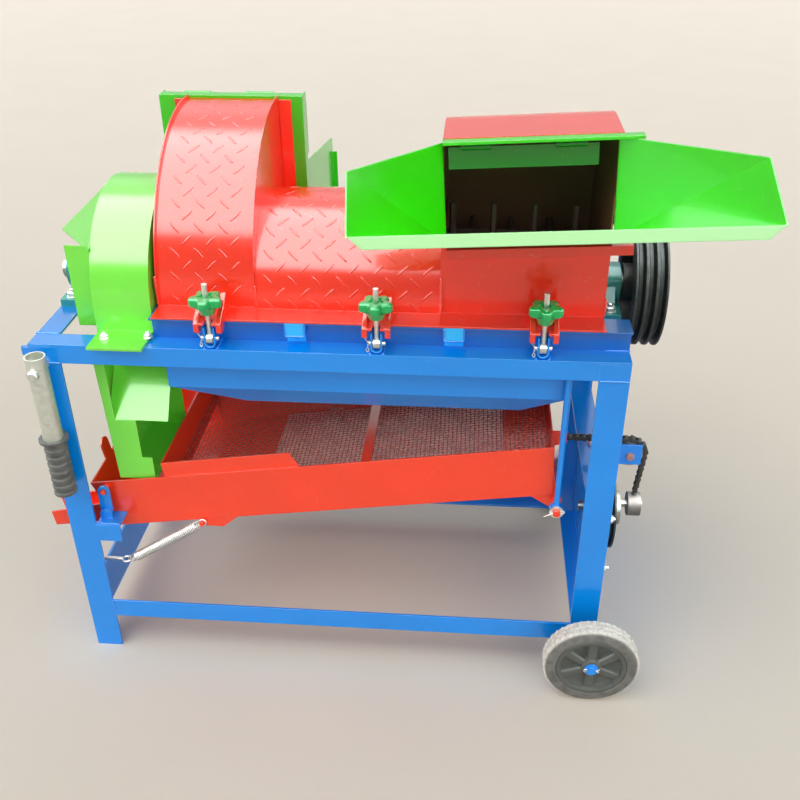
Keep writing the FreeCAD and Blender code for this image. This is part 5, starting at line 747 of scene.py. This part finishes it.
def bead_tree():
    """A weld bead: overlapping ripples along a joint, each a little different."""
    tree, given, last = new_tree("Weld bead", {
        "Step": "NodeSocketFloat", "Width": "NodeSocketFloat", "Seed": "NodeSocketInt",
        "Finish": "NodeSocketMaterial"})
    curve = add(tree, "GeometryNodeMeshToCurve", {"Mesh": given["Geometry"]}).outputs[0]
    points = add(tree, "GeometryNodeCurveToPoints", {"Curve": curve, "Length": given["Step"]}, mode="LENGTH")
    ball = add(tree, "GeometryNodeMeshUVSphere", {
        "Segments": 8, "Rings": 5, "Radius": given["Width"]}).outputs["Mesh"]
    size = add(tree, "FunctionNodeRandomValue", {0: (0.42, 0.38, 0.30), 1: (0.62, 0.56, 0.44),
                                                 "Seed": given["Seed"]}, data_type="FLOAT_VECTOR").outputs[0]
    ripples = add(tree, "GeometryNodeInstanceOnPoints", {
        "Points": points.outputs["Points"], "Instance": ball, "Rotation": points.outputs["Rotation"],
        "Scale": size}).outputs[0]
    end_tree(tree, ripples, given["Finish"], last)
    return tree


def tyre_tree():
    """Tyre tread: slanted blocks in rows round the wheel."""
    tree, given, last = new_tree("Tyre tread", {
        "Count": "NodeSocketInt", "Radius": "NodeSocketFloat", "Block": "NodeSocketVector",
        "Slant": "NodeSocketFloat", "Centre": "NodeSocketVector", "Finish": "NodeSocketMaterial"})

    posts = add(tree, "GeometryNodeMeshLine", {"Count": given["Count"], "Offset": (0, 0, 0)}).outputs[0]
    number = add(tree, "GeometryNodeInputIndex").outputs[0]
    turn = add(tree, "ShaderNodeMath",
               {0: add(tree, "ShaderNodeMath", {0: number, 1: given["Count"]}, operation="DIVIDE").outputs[0],
                1: math.tau}, operation="MULTIPLY").outputs[0]
    cosine = add(tree, "ShaderNodeMath", {0: turn}, operation="COSINE").outputs[0]
    sine = add(tree, "ShaderNodeMath", {0: turn}, operation="SINE").outputs[0]
    spot = add(tree, "ShaderNodeCombineXYZ", {
        "X": add(tree, "ShaderNodeMath", {0: cosine, 1: given["Radius"]}, operation="MULTIPLY").outputs[0],
        "Z": add(tree, "ShaderNodeMath", {0: sine, 1: given["Radius"]},
                 operation="MULTIPLY").outputs[0]}).outputs[0]
    ring = add(tree, "GeometryNodeSetPosition", {"Geometry": posts, "Position": spot}).outputs[0]
    cube = add(tree, "GeometryNodeMeshCube", {"Size": given["Block"]}).outputs["Mesh"]
    slant = add(tree, "ShaderNodeCombineXYZ", {"X": given["Slant"]}).outputs[0]
    slanted = add(tree, "GeometryNodeTransform", {"Geometry": cube, "Rotation": slant}).outputs[0]
    facing = add(tree, "ShaderNodeCombineXYZ",
                 {"Y": add(tree, "ShaderNodeMath", {0: turn, 1: -1.0},
                           operation="MULTIPLY").outputs[0]}).outputs[0]
    blocks = add(tree, "GeometryNodeInstanceOnPoints", {"Points": ring, "Instance": slanted,
                                                        "Rotation": facing}).outputs[0]
    moved = add(tree, "GeometryNodeTransform", {
        "Geometry": blocks, "Translation": given["Centre"]}).outputs[0]
    real = add(tree, "GeometryNodeRealizeInstances", {"Geometry": moved}).outputs[0]
    painted = add(tree, "GeometryNodeSetMaterial", {"Geometry": real, "Material": given["Finish"]}).outputs[0]
    tree.links.new(painted, last["Geometry"])
    return tree


def overcast_sky():
    """A plain sky. Gloss mirrors it as open sky overhead between a low front and a high back."""
    world = bpy.data.worlds.new("Overcast sky")
    world.use_nodes = True
    tree = world.node_tree
    ray = add(tree, "ShaderNodeTexCoord").outputs["Generated"]
    way = add(tree, "ShaderNodeSeparateXYZ", {0: ray}).outputs
    angle = add(tree, "ShaderNodeMath",
                {0: way["Z"],
                 1: add(tree, "ShaderNodeMath", {0: way["Y"], 1: -1.0}, operation="MULTIPLY").outputs[0]},
                operation="ARCTAN2").outputs[0]
    rise = add(tree, "ShaderNodeMapRange", {
        "Value": angle, "From Min": math.radians(27), "From Max": math.radians(33)}).outputs["Result"]
    fall = add(tree, "ShaderNodeMapRange", {
        "Value": angle, "From Min": math.radians(123), "From Max": math.radians(112)}).outputs["Result"]
    behind = add(tree, "ShaderNodeMapRange", {
        "Value": angle, "From Min": math.radians(165), "From Max": math.radians(145),
        "To Min": 0.7, "To Max": 1.9}).outputs["Result"]
    overhead = add(tree, "ShaderNodeMapRange", {
        "Value": fall, "To Min": behind, "To Max": 11.0}).outputs["Result"]
    mirrored = add(tree, "ShaderNodeMath",
                   {0: add(tree, "ShaderNodeMath", {0: rise, 1: overhead}, operation="MULTIPLY").outputs[0],
                    1: 0.3}, operation="MAXIMUM").outputs[0]
    seen = add(tree, "ShaderNodeLightPath").outputs
    strength = add(tree, "ShaderNodeMix", {0: seen["Is Glossy Ray"], 2: 0.58, 3: mirrored}).outputs[0]
    strength = add(tree, "ShaderNodeMix", {0: seen["Is Camera Ray"], 2: strength, 3: 0.78}).outputs[0]
    sky = tree.nodes["Background"]
    sky.inputs["Color"].default_value = (0.96, 0.98, 1.0, 1.0)
    tree.links.new(strength, sky.inputs["Strength"])
    return world


class THRESHER_OT_stage(bpy.types.Operator):
    """Floor, soft studio light and the camera at the photograph's angle"""
    bl_idname = "thresher.stage"
    bl_label = "Stage"

    def execute(self, context):
        scene = context.scene
        scene.view_settings.view_transform = "Standard"
        floor = bpy.data.meshes.new("floor")
        floor.from_pydata([(-40, -40, 0), (40, -40, 0), (40, 40, 0), (-40, 40, 0)], [], [(0, 1, 2, 3)])
        floor.materials.append(concrete("Pale concrete", scene.thresher_colours.floor))
        ground = bpy.data.objects.new("floor", floor)
        scene.collection.objects.link(ground)
        scene.world = overcast_sky()
        for name, place, size, power in (("Main light", (-2.4, -2.6, 4.8), 50, 1.6),
                                         ("Fill light", (3.0, -3.4, 2.2), 60, 0.95)):
            lamp = bpy.data.lights.new(name, "SUN")
            lamp.angle = math.radians(size)
            lamp.energy = power
            holder = bpy.data.objects.new(name, lamp)
            holder.rotation_euler = Vector(place).to_track_quat("Z", "Y").to_euler()
            holder.visible_glossy = False
            scene.collection.objects.link(holder)
        yaw, pitch, roll = CAMERA_YAW, CAMERA_PITCH, CAMERA_ROLL
        ahead = Vector((math.sin(yaw) * math.cos(pitch), math.cos(yaw) * math.cos(pitch),
                        -math.sin(pitch)))
        level = Vector((math.cos(yaw), -math.sin(yaw), 0))
        above = level.cross(ahead)
        right = level * math.cos(roll) + above * math.sin(roll)
        up = above * math.cos(roll) - level * math.sin(roll)
        lens = bpy.data.cameras.new("Camera")
        lens.sensor_width = FILM_WIDTH
        lens.lens = FOCAL_PIXELS / PHOTO_PIXELS * FILM_WIDTH
        camera = bpy.data.objects.new("Camera", lens)
        turn = Matrix((right, up, -ahead)).transposed().to_4x4()
        camera.matrix_world = Matrix.Translation(CAMERA_PLACE) @ turn
        scene.collection.objects.link(camera)
        scene.camera = camera
        return {"FINISHED"}


class THRESHER_OT_paint(bpy.types.Operator):
    """Finishes on the sub-parts of the CAD model"""
    bl_idname = "thresher.paint"
    bl_label = "Paint"

    def execute(self, context):
        make_finishes(context.scene.thresher_colours)
        done = set()
        for finish, names in NODE_FINISH.items():
            for name in names.split():
                data = NODES[name].data
                data.materials.clear()
                data.materials.append(FINISHES[finish])
                done.add(name)
        missing = sorted(set(NODES) - done)
        if missing:
            raise RuntimeError(f"these sub-parts have no finish: {missing}")
        return {"FINISHED"}


class THRESHER_OT_tread(bpy.types.Operator):
    """Raised bars of the checker plate on the thrower housing and the drum cover"""
    bl_idname = "thresher.tread"
    bl_label = "Checker plate"

    def execute(self, context):
        sizes = context.scene.thresher_sizes
        tree = tread_tree()
        bar = (sizes.tread_length / 2, sizes.tread_width / 2, sizes.tread_height)
        for name, left, right, centre, radius, turn, arc in (
                ("tread_thrower", 214, 376, THROWER, 276, 90, 452),
                ("tread_drum", 380, 687, SHAFT, 155, 180, 480)):
            grown(name, tree, {
                "Across": (right - left) * MM, "Along": arc * MM, "Pitch": sizes.tread_pitch, "Bar": bar,
                "Centre": at((left + right) / 2, *centre), "Radius": radius * MM,
                "Turn": math.radians(turn), "Start": 12 * MM}, "frame", "cover_red")
        return {"FINISHED"}


class THRESHER_OT_screen(bpy.types.Operator):
    """Woven wire screen over the tray and the pale sieve plate under it"""
    bl_idname = "thresher.screen"
    bl_label = "Screen"

    def execute(self, context):
        sizes = context.scene.thresher_sizes
        wires = grown("screen_wires", woven_tree(), {
            "Along": 707 * MM, "Across": 353 * MM, "Pitch": sizes.wire_pitch, "Wire": sizes.wire_radius,
            "Start": on_tray(151, 48.5, -22.5), "Slope": (0, -SLOPE, 0)}, "tray", "screen")
        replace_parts(wires, "screen_mesh")
        # The pale sieve plate partly stands in for sunlight falling through the screen.
        plate = Piece("sieve_plate", "sieve", "tray_red")
        for low, high in ((300, 393), (422, 572), (603, 764)):
            corners = [on_tray(along, back, -98.8) for along, back in
                       ((low, 50), (high, 50), (high, 400), (low, 400))]
            plate.plate(corners, (on_tray(0, 0, -97.6) - on_tray(0, 0, -98.8)))
        plate.paint = 1
        for low, high in ((391, 424), (570, 605), (762, 772)):
            corners = [on_tray(along, back, -99) for along, back in
                       ((low, 49), (high, 49), (high, 401), (low, 401))]
            plate.plate(corners, (on_tray(0, 0, -92) - on_tray(0, 0, -99)))
        plate.finish("tray", bevel=0.5)
        return {"FINISHED"}


class THRESHER_OT_knobs(bpy.types.Operator):
    """Star knobs of the three cover clamps"""
    bl_idname = "thresher.knobs"
    bl_label = "Star knobs"

    def execute(self, context):
        reach = context.scene.thresher_sizes.knob_reach / MM
        for number, across in enumerate(CLAMPS, start=1):
            knob = Piece(f"star_knob_{number}", "knob")
            steps = 80

            def lobed(share, up, inset=0.0):
                ring = []
                for step in range(steps):
                    turn = math.tau * step / steps
                    lobe = (0.5 + 0.5 * math.cos(5 * (turn + math.pi / 2))) ** 0.75
                    radius = (reach - 9.5 + 9.5 * lobe - inset) * share
                    ring.append(at(across + radius * math.cos(turn),
                                   CLAMP_BACK + radius * math.sin(turn), up))
                return ring

            levels = [(0.60, 768.6, 3.0), (0.86, 770.6, 2.6), (0.97, 772.4, 0.9), (1.0, 775.0, 0.0),
                      (1.0, 783.0, 0.0), (1.0, 785.6, 1.0), (1.0, 787.2, 3.0), (1.0, 787.8, 6.0),
                      (0.62, 787.9, 6.0), (0.52, 783.4, 5.0)]
            knob.skin([lobed(*level) for level in levels])
            knob.turned(at(across, CLAMP_BACK, 757.4), (0, 0, 1), [
                (0, 11.4), (1.6, 12.6), (8, 14.2), (12, 18.5), (14, 20)], 40)
            item = knob.finish(f"knob_{number}", sharp=50)
            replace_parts(item, f"clamp_knob_{number}")
        return {"FINISHED"}


def spring_tree():
    """The close coils of a spring, laid along a line."""
    tree, given, last = new_tree("Spring coils", {
        "Turns": "NodeSocketFloat", "Coil": "NodeSocketFloat", "Wire": "NodeSocketFloat",
        "Length": "NodeSocketFloat", "Start": "NodeSocketVector", "Lean": "NodeSocketVector",
        "Finish": "NodeSocketMaterial"})
    coils = add(tree, "GeometryNodeCurveSpiral", {
        "Resolution": 20, "Rotations": given["Turns"], "Start Radius": given["Coil"],
        "End Radius": given["Coil"], "Height": given["Length"]}).outputs[0]
    wire = add(tree, "GeometryNodeCurvePrimitiveCircle", {
        "Resolution": 8, "Radius": given["Wire"]}).outputs[0]
    round_wire = add(tree, "GeometryNodeCurveToMesh", {"Curve": coils, "Profile Curve": wire,
                                                       "Fill Caps": True}).outputs[0]
    laid = add(tree, "GeometryNodeTransform", {"Geometry": round_wire, "Translation": given["Start"],
                                               "Rotation": given["Lean"]}).outputs[0]
    end_tree(tree, laid, given["Finish"], last)
    return tree


def chain_tree():
    """Chain links along a line, outer and inner by turns."""
    tree, given, last = new_tree("Chain links", {
        "Pitch": "NodeSocketFloat", "Count": "NodeSocketInt", "Outer": "NodeSocketObject",
        "Inner": "NodeSocketObject", "Finish": "NodeSocketMaterial"})

    curve = add(tree, "GeometryNodeMeshToCurve", {"Mesh": given["Geometry"]}).outputs[0]
    posts = add(tree, "GeometryNodeMeshLine", {"Count": given["Count"], "Offset": (0, 0, 0)}).outputs[0]
    number = add(tree, "GeometryNodeInputIndex").outputs[0]
    here, ahead = (
        add(tree, "GeometryNodeSampleCurve", {
            "Curves": curve,
            "Length": add(tree, "ShaderNodeMath",
                          {0: add(tree, "ShaderNodeMath", {0: number, 1: step}, operation="ADD").outputs[0],
                           1: given["Pitch"]}, operation="MULTIPLY").outputs[0]},
            mode="LENGTH").outputs["Position"] for step in (0.0, 1.0))
    row = add(tree, "GeometryNodeSetPosition", {"Geometry": posts, "Position": here}).outputs[0]
    line = add(tree, "ShaderNodeVectorMath", {0: ahead, 1: here}, operation="SUBTRACT").outputs[0]
    turn = add(tree, "FunctionNodeAlignRotationToVector", {"Vector": line},
               axis="X", pivot_axis="Y").outputs[0]
    odd = add(tree, "FunctionNodeCompare",
              {0: add(tree, "ShaderNodeMath", {0: number, 1: 2.0}, operation="MODULO").outputs[0], 1: 0.5},
              operation="GREATER_THAN").outputs[0]
    even = add(tree, "FunctionNodeBooleanMath", {0: odd}, operation="NOT").outputs[0]
    both = add(tree, "GeometryNodeJoinGeometry")
    for label, chosen in (("Outer", odd), ("Inner", even)):
        link = add(tree, "GeometryNodeObjectInfo", {"Object": given[label]}).outputs["Geometry"]
        set_out = add(tree, "GeometryNodeInstanceOnPoints", {
            "Points": row, "Selection": chosen, "Instance": link, "Rotation": turn}).outputs[0]
        tree.links.new(set_out, both.inputs["Geometry"])
    end_tree(tree, both.outputs[0], given["Finish"], last)
    return tree


def chain_link(name, inner, pitch):
    """Two waisted side plates, a roller and a pin, as a shape to repeat."""
    link = Piece(name, "chain")
    outline = []
    for centre, first in ((pitch, -60), (0.0, 120)):
        outline += [(centre + 5.6 * math.cos(math.radians(first + step * 24)),
                     5.6 * math.sin(math.radians(first + step * 24))) for step in range(6)]
        outline.append((pitch / 2, 3.1 if first < 0 else -3.1))
    for side in (-1, 1):
        near = side * (inner + (0 if side > 0 else 1.4))
        link.plate([Vector((x, near, z)) * MM for x, z in outline], Vector((0, 1.4, 0)) * MM)
    link.turned(Vector((0, -3.2, 0)) * MM, (0, 1, 0), [(0, 4.4), (6.4, 4.4)], 14)
    link.turned(Vector((0, -6.6, 0)) * MM, (0, 1, 0), [(0, 2.0), (0.5, 2.5), (12.7, 2.5), (13.2, 2.0)], 10)
    bmesh.ops.recalc_face_normals(link.mesh, faces=link.mesh.faces)
    data = bpy.data.meshes.new(name)
    link.mesh.to_mesh(data)
    link.mesh.free()
    return bpy.data.objects.new(name, data)


class THRESHER_OT_drive(bpy.types.Operator):
    """Roller chain of the crank and the tension spring of the tray"""
    bl_idname = "thresher.drive"
    bl_label = "Chain and spring"

    def execute(self, context):
        centre, run, start, end = (1041, 436), 29.4, (929.5, 465.0), (1062, 351.5)
        reach = math.hypot(start[0] - centre[0], start[1] - centre[1])
        lift = math.atan2(centre[1] - start[1], centre[0] - start[0]) + math.pi - math.acos(run / reach)
        route = [start] + [(centre[0] + run * math.cos(lift * (1 - step / 40)),
                            centre[1] + run * math.sin(lift * (1 - step / 40))) for step in range(41)] + [end]
        total = sum(math.dist(first, second) for first, second in zip(route, route[1:]))
        count = round(total / CHAIN_PITCH)
        path = bpy.data.meshes.new("chain_path")
        spans = [(step, step + 1) for step in range(len(route) - 1)]
        path.from_pydata([at(x, 130, z) for x, z in route], spans, [])
        links = [chain_link("outer_link", 4.8, total / count), chain_link("inner_link", 3.3, total / count)]
        for link in links:
            context.scene.collection.objects.link(link)
        chain = grown("roller_chain", chain_tree(), {
            "Pitch": total / count * MM, "Count": count, "Outer": links[0], "Inner": links[1]},
            "frame", "chain", path)
        for link in links:
            bpy.data.objects.remove(link)
        chain.data.shade_smooth()
        chain.data.set_sharp_from_angle(angle=math.radians(35))
        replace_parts(chain, "pull_chain")
        low, high = at(88, 40, 198), at(242, 40, 297)
        along = (high - low).normalized()
        side = Vector((-along.z, 0, along.x))
        hook, wire = 8.2, 1.3
        body = (high - low).length / MM - hook * 3.6
        coils = grown("spring_coils", spring_tree(), {
            "Turns": 34.0, "Coil": 8.6 * MM, "Wire": 1.2 * MM, "Length": body * MM,
            "Start": low + along * hook * 1.8 * MM,
            "Lean": (0, math.atan2(along.x, along.z), 0)}, "frame", "zinc")
        hooks = Piece("spring_hooks", "zinc")
        for end, way in ((low, 1), (high, -1)):
            points = [end + along * way * hook * 1.9 * MM + side * 7.4 * MM]
            for step in range(15):
                turn = math.radians(70 + step * 19)
                bend = along * way * math.cos(turn) + side * math.sin(turn)
                points.append(end + bend * (hook - wire) * MM)
            hooks.swept(points, wire, 8)
        item = hooks.finish("frame", sharp=60)
        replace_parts(item, "tension_spring")
        return {"FINISHED"}


class THRESHER_OT_clamps(bpy.types.Operator):
    """Straps, fork plates, pins and wire clips of the three cover clamps"""
    bl_idname = "thresher.clamps"
    bl_label = "Cover clamps"

    def execute(self, context):
        forks = Piece("fork_plates", "cover_red")
        straps = Piece("clamp_straps", "frame_blue")
        clips = Piece("clamp_pins", "zinc")
        outer, inner, eye, top = 9.6, 6.6, 706.2, 732.8
        for across in CLAMPS:
            base = [(-22, 58), (-22, -2), (-6.6, -2), (-6.6, 16.4), (6.6, 16.4), (6.6, -2), (22, -2),
                    (22, 58)]
            forks.plate([at(across + x, back, 739.2) for x, back in base], Vector((0, 0, 4.4)) * MM)
            ear = [(-3, 728), (-3, 743), (8, 751), (26, 760), (37, 768), (44, 775), (50, 777), (56, 774),
                   (58, 768), (58, 739.2), (23.4, 739.2), (22, 732), (12, 725), (2, 724)]
            for low in (-23, 14.5):
                forks.plate([at(across + low, back, up) for back, up in ear], Vector((8.5, 0, 0)) * MM)
            bend = [(math.cos(turn), math.sin(turn)) for turn in (-math.pi * step / 12 for step in range(13))]
            strap = [(outer, top)] + [(outer * x, eye + outer * z) for x, z in bend] + [(-outer, top)]
            strap += [(-inner, top)] + [(inner * x, eye + inner * z) for x, z in reversed(bend)]
            strap.append((inner, top))
            straps.plate([at(across + x, 2, up) for x, up in strap], Vector((0, 15, 0)) * MM)
            for low in (-outer, inner):
                straps.plate([at(across + low, back, up) for back, up in
                              ((17, top), (40, top), (40, 720), (17, 708))], Vector((3, 0, 0)) * MM)
            clips.turned(at(across - 14.5, CLAMP_BACK, 712), (1, 0, 0),
                         [(0, 3.2), (0.8, 4), (28, 4), (29, 3.2)], 20)
            spot = at(across - 13, CLAMP_BACK, 712)
            ring = [spot + Vector((-0.6, 5.4 * math.cos(a), 5.4 * math.sin(a))) * MM
                    for a in (math.tau * step / 16 for step in range(16))]
            clips.swept(ring, 0.9, 6, joined=True)
            clips.swept([spot + Vector(shift) * MM for shift in
                         ((-0.8, -5, 2), (-3, -7, 8), (-7, -8, 14), (-9, -8, 17))], 0.9, 6)
            clips.swept([spot + Vector(shift) * MM for shift in
                         ((-0.8, -5, -1), (-2, -6, -6), (-4, -6.5, -10), (-2, -7, -13), (0.5, -7, -11),
                          (0, -6, -6))], 0.9, 6)
        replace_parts(forks.finish("frame", bevel=1.2, segments=3), "clamp_forks")
        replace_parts(straps.finish("frame", bevel=0.5), "clamp_lugs")
        clips.finish("frame")
        return {"FINISHED"}


class THRESHER_OT_wheels(bpy.types.Operator):
    """Tyres with their tread, and the moulded wheel discs with six ribs"""
    bl_idname = "thresher.wheels"
    bl_label = "Wheels"

    def execute(self, context):
        sizes = context.scene.thresher_sizes
        high = sizes.block_height / MM
        tree = tyre_tree()
        for end, middle, out in (("front", -60, -1), ("rear", 510, 1)):
            body = f"wheel_{end}"
            centre = at(WHEEL_ACROSS, middle, WHEEL_RADIUS)
            tyre = Piece(f"rubber_tyre_{end}", "tyre")
            base = WHEEL_RADIUS - high
            tyre.turned(centre, (0, 1, 0), [
                (-19.4, 66), (-20, 67.5), (-20, 71), (-19.3, 72), (-19.3, 79), (-18.6, 82),
                (-16.4, base - 2.2), (-14.6, base - 0.5), (-13, base), (-6.5, base),
                (-5.7, base - 1.6), (-4.6, base - 1.6),
                (-3.8, base), (3.8, base), (4.6, base - 1.6), (5.7, base - 1.6), (6.5, base), (13, base),
                (14.6, base - 0.5), (16.4, base - 2.2), (18.6, 82), (19.3, 79), (19.3, 72), (20, 71),
                (20, 67.5), (19.4, 66)], 96, closed=True)
            item = tyre.finish(body, sharp=60)
            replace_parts(item, f"tyre_{end}")
            rows = ((-9.9, 7.4, 20), (0, 7.0, -20), (9.9, 7.4, 20))
            for row, (back, wide, slant) in enumerate(rows, start=1):
                spot = at(WHEEL_ACROSS, middle + back, WHEEL_RADIUS)
                blocks = grown(f"tread_blocks_{end}_{row}", tree, {
                    "Count": 44, "Radius": (WHEEL_RADIUS - high * 0.8) * MM,
                    "Block": (high * 1.5 * MM, wide * MM, 8.2 * MM),
                    "Slant": math.radians(slant), "Centre": spot}, body, "tyre")
                blocks.modifiers.new("Worn edges", "BEVEL").width = 0.5 * MM
            disc = Piece(f"wheel_disc_{end}", "wheel")
            disc.turned(centre, (0, 1, 0), [
                (-18.2, 57.5), (-18.8, 59), (-18.8, 64.5), (-17.5, 65.8), (17.5, 65.8), (18.8, 64.5),
                (18.8, 59), (18.2, 57.5), (9, 56), (7, 52), (5.5, 24), (5.5, 20), (19, 18.5), (20, 17),
                (20, 8.4), (-20, 8.4), (-20, 17), (-19, 18.5), (-5.5, 20), (-5.5, 24), (-7, 52), (-9, 56)],
                72, closed=True)
            for number in range(6):
                turn = math.tau * number / 6 + math.pi / 2
                line = Vector((math.cos(turn), 0, math.sin(turn)))
                side = Vector((-line.z, 0, line.x))
                for face in (-1, 1):
                    rings = []
                    for far, half, depth in ((17, 7.5, 16.5), (24, 8.0, 16.0), (40, 9.0, 14.5),
                                             (54, 10.5, 13.5), (60, 11.5, 15.0)):
                        spine = centre + line * far * MM
                        rings.append([
                            spine + side * place * half * MM + Vector((0, face * deep * MM, 0))
                            for place, deep in ((-1.0, 4.0), (-1.0, depth - 3.5), (-0.82, depth - 1.0),
                                                (-0.5, depth), (0.5, depth), (0.82, depth - 1.0),
                                                (1.0, depth - 3.5), (1.0, 4.0))])
                    disc.skin(rings)
            item = disc.finish(body, sharp=40)
            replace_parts(item, f"rim_{end}")
            pin = Piece(f"axle_pin_{end}", "zinc")
            spot = at(WHEEL_ACROSS, middle + out * 25.5, WHEEL_RADIUS)
            loop = [spot + Vector((-11 - 3.2 * math.cos(a), 0, 3.2 * math.sin(a))) * MM
                    for a in (math.pi * step / 6 for step in range(-5, 6))]
            pin.swept(loop, 1.0, 6)
            for leg in (((-9, 0.8), (9, 0.8), (12, 1.8), (14.5, 4.5)),
                        ((-9, -0.8), (9, -0.8), (12, -2), (13.5, -4))):
                pin.swept([spot + Vector((x, 0, z)) * MM for x, z in leg], 1.0, 6)
            pin.finish("frame")
        return {"FINISHED"}


class THRESHER_OT_trim(bpy.types.Operator):
    """Flange strips where the thrower housing meets the outlet"""
    bl_idname = "thresher.trim"
    bl_label = "Flange strips"

    def execute(self, context):
        strips = Piece("thrower_flange", "cover_red")
        for left, right in ((186, 209.6), (378.4, 401)):
            corners = ((left, 788), (right, 788), (right, 1011), (left, 1011))
            strips.plate([at(across, 371.8, up) for across, up in corners], Vector((0, 3, 0)) * MM)
        strips.finish("frame", bevel=0.6)
        return {"FINISHED"}


class THRESHER_OT_fasteners(bpy.types.Operator):
    """Bolts, nuts, washers and split pins"""
    bl_idname = "thresher.fasteners"
    bl_label = "Fasteners"

    def execute(self, context):
        up, front, right = (0, 0, 1), (0, -1, 0), (1, 0, 0)
        bolts = Piece("frame_bolts", "zinc")
        for place, axis, size, high in (
                ((126, 21, 700), up, 13, 5.3), ((199, 29, 700), up, 13, 5.3), ((975, 165, 430), up, 13, 5.3),
                ((1000, 16, 367), right, 13, 5.3), ((1000, 16, 253), right, 13, 5.3),
                ((1000, 434, 367), right, 13, 5.3), ((1000, 434, 253), right, 13, 5.3)):
            bolts.nut(at(*place), axis, size, high, 3)
        for middle, out in ((-44.6, -1), (494.6, 1)):
            bolts.nut(at(22, middle, 660), (0, out, 0), 16, 6.2)
        bolts.nut(at(-12, 40, 193), (-1, 0, 0), 12, 3)
        for across in (20, 980):
            for back in (162, 288):
                bolts.nut(at(across, back, 709), up, 18, 8, 5)
        bolts.finish("frame", bevel=0.25)
        head = Piece("roller_bolt", "primer")
        head.nut(at(1041, 117, 436), front, 13, 5)
        head.finish("frame", bevel=0.4)
        pins = Piece("hanger_pin_fittings", "zinc")
        for back, out in ((16.5, -1), (433.5, 1)):
            pins.turned(at(905, back, 377), (0, out, 0), [(0, 7.2), (0, 12.5), (1.8, 12.5), (1.8, 7.2)], 32,
                        closed=True)
            spot = at(905, back + out * 3.8, 377)
            bends = ((9, 3), (12, 5.5), (14.5, 3), (12, 0.6), (8, 0.6), (-9, -1.2), (-16, -6), (-22, -9))
            pins.swept([spot + Vector((x, 0, z)) * MM for x, z in bends], 1.1, 6)
        pins.finish("tray")
        return {"FINISHED"}


class THRESHER_OT_welds(bpy.types.Operator):
    """Weld beads at the joints of the frame and its brackets"""
    bl_idname = "thresher.welds"
    bl_label = "Weld beads"

    def execute(self, context):
        sizes = context.scene.thresher_sizes
        lines = []
        for back in (-0.2, 450.2):
            lines += [((2, back, 660), (48, back, 660)), ((952, back, 660), (998, back, 660)),
                      ((50, back, 84), (50, back, 121)), ((950, back, 84), (950, back, 121))]
        for middle in CASING_STRAPS:
            for side in (-15.5, 15.5):
                lines.append(((middle + side, 26, 712), (middle + side, 26, 732)))
            lines.append(((middle - 15, 25.5, 711), (middle + 15, 25.5, 711)))
        for across in CLAMPS:
            for side in (-10.5, 10.5):
                lines.append(((across + side, 3, 695.3), (across + side, 38, 695.3)))
        lines += [((1001, 112, 419), (1001, 112, 459)), ((52, 6, 312.3), (92, 6, 312.3)),
                  ((50.2, 5, 277), (50.2, 5, 311))]
        for back in (41, 409):
            lines += [((0, back, 695), (38, back, 695)), ((962, back, 695), (1000, back, 695))]
        points, edges = [], []
        for ends in lines:
            edges.append((len(points), len(points) + 1))
            points += [at(*end) for end in ends]
        paths = bpy.data.meshes.new("weld_paths")
        paths.from_pydata(points, edges, [])
        tree = bead_tree()
        grown("weld_beads", tree, {"Step": sizes.weld_step, "Width": sizes.weld_width, "Seed": 4},
              "frame", "frame_blue", paths)
        seams = bpy.data.meshes.new("seam_paths")
        seams.from_pydata([at(379, 70.5, 740), at(379, 71.5, 778), at(689, 70.5, 740), at(689, 73, 800),
                           at(209.4, 72, 741), at(209.4, 72, 790), at(958, 75, 741), at(958, 75, 770)],
                          [(0, 1), (2, 3), (4, 5), (6, 7)], [])
        grown("seam_beads", tree, {"Step": sizes.weld_step, "Width": sizes.weld_width, "Seed": 9},
              "frame", "cover_red", seams)
        return {"FINISHED"}


class THRESHER_PT_panel(bpy.types.Panel):
    """Colours, sizes and the steps that dress the machine"""
    bl_idname = "THRESHER_PT_panel"
    bl_label = "Threshing machine"
    bl_space_type = "VIEW_3D"
    bl_region_type = "UI"
    bl_category = "Thresher"

    def draw(self, context):
        for group in (context.scene.thresher_colours, context.scene.thresher_sizes):
            column = self.layout.column(align=True)
            for name in group.__annotations__:
                column.prop(group, name)
        for step in STEPS:
            self.layout.operator(step.bl_idname)


STEPS = (THRESHER_OT_stage, THRESHER_OT_paint, THRESHER_OT_tread, THRESHER_OT_screen, THRESHER_OT_knobs,
         THRESHER_OT_clamps, THRESHER_OT_drive, THRESHER_OT_wheels, THRESHER_OT_trim, THRESHER_OT_fasteners,
         THRESHER_OT_welds)
CLASSES = (ThresherColours, ThresherSizes, *STEPS, THRESHER_PT_panel)


def register():
    for item in CLASSES:
        bpy.utils.register_class(item)
    bpy.types.Scene.thresher_colours = bpy.props.PointerProperty(type=ThresherColours)
    bpy.types.Scene.thresher_sizes = bpy.props.PointerProperty(type=ThresherSizes)


def unregister():
    del bpy.types.Scene.thresher_sizes
    del bpy.types.Scene.thresher_colours
    for item in reversed(CLASSES):
        bpy.utils.unregister_class(item)


def main():
    register()
    for step in STEPS:
        group, name = step.bl_idname.split(".")
        getattr(getattr(bpy.ops, group), name)()


if __name__ == "__main__":
    main()
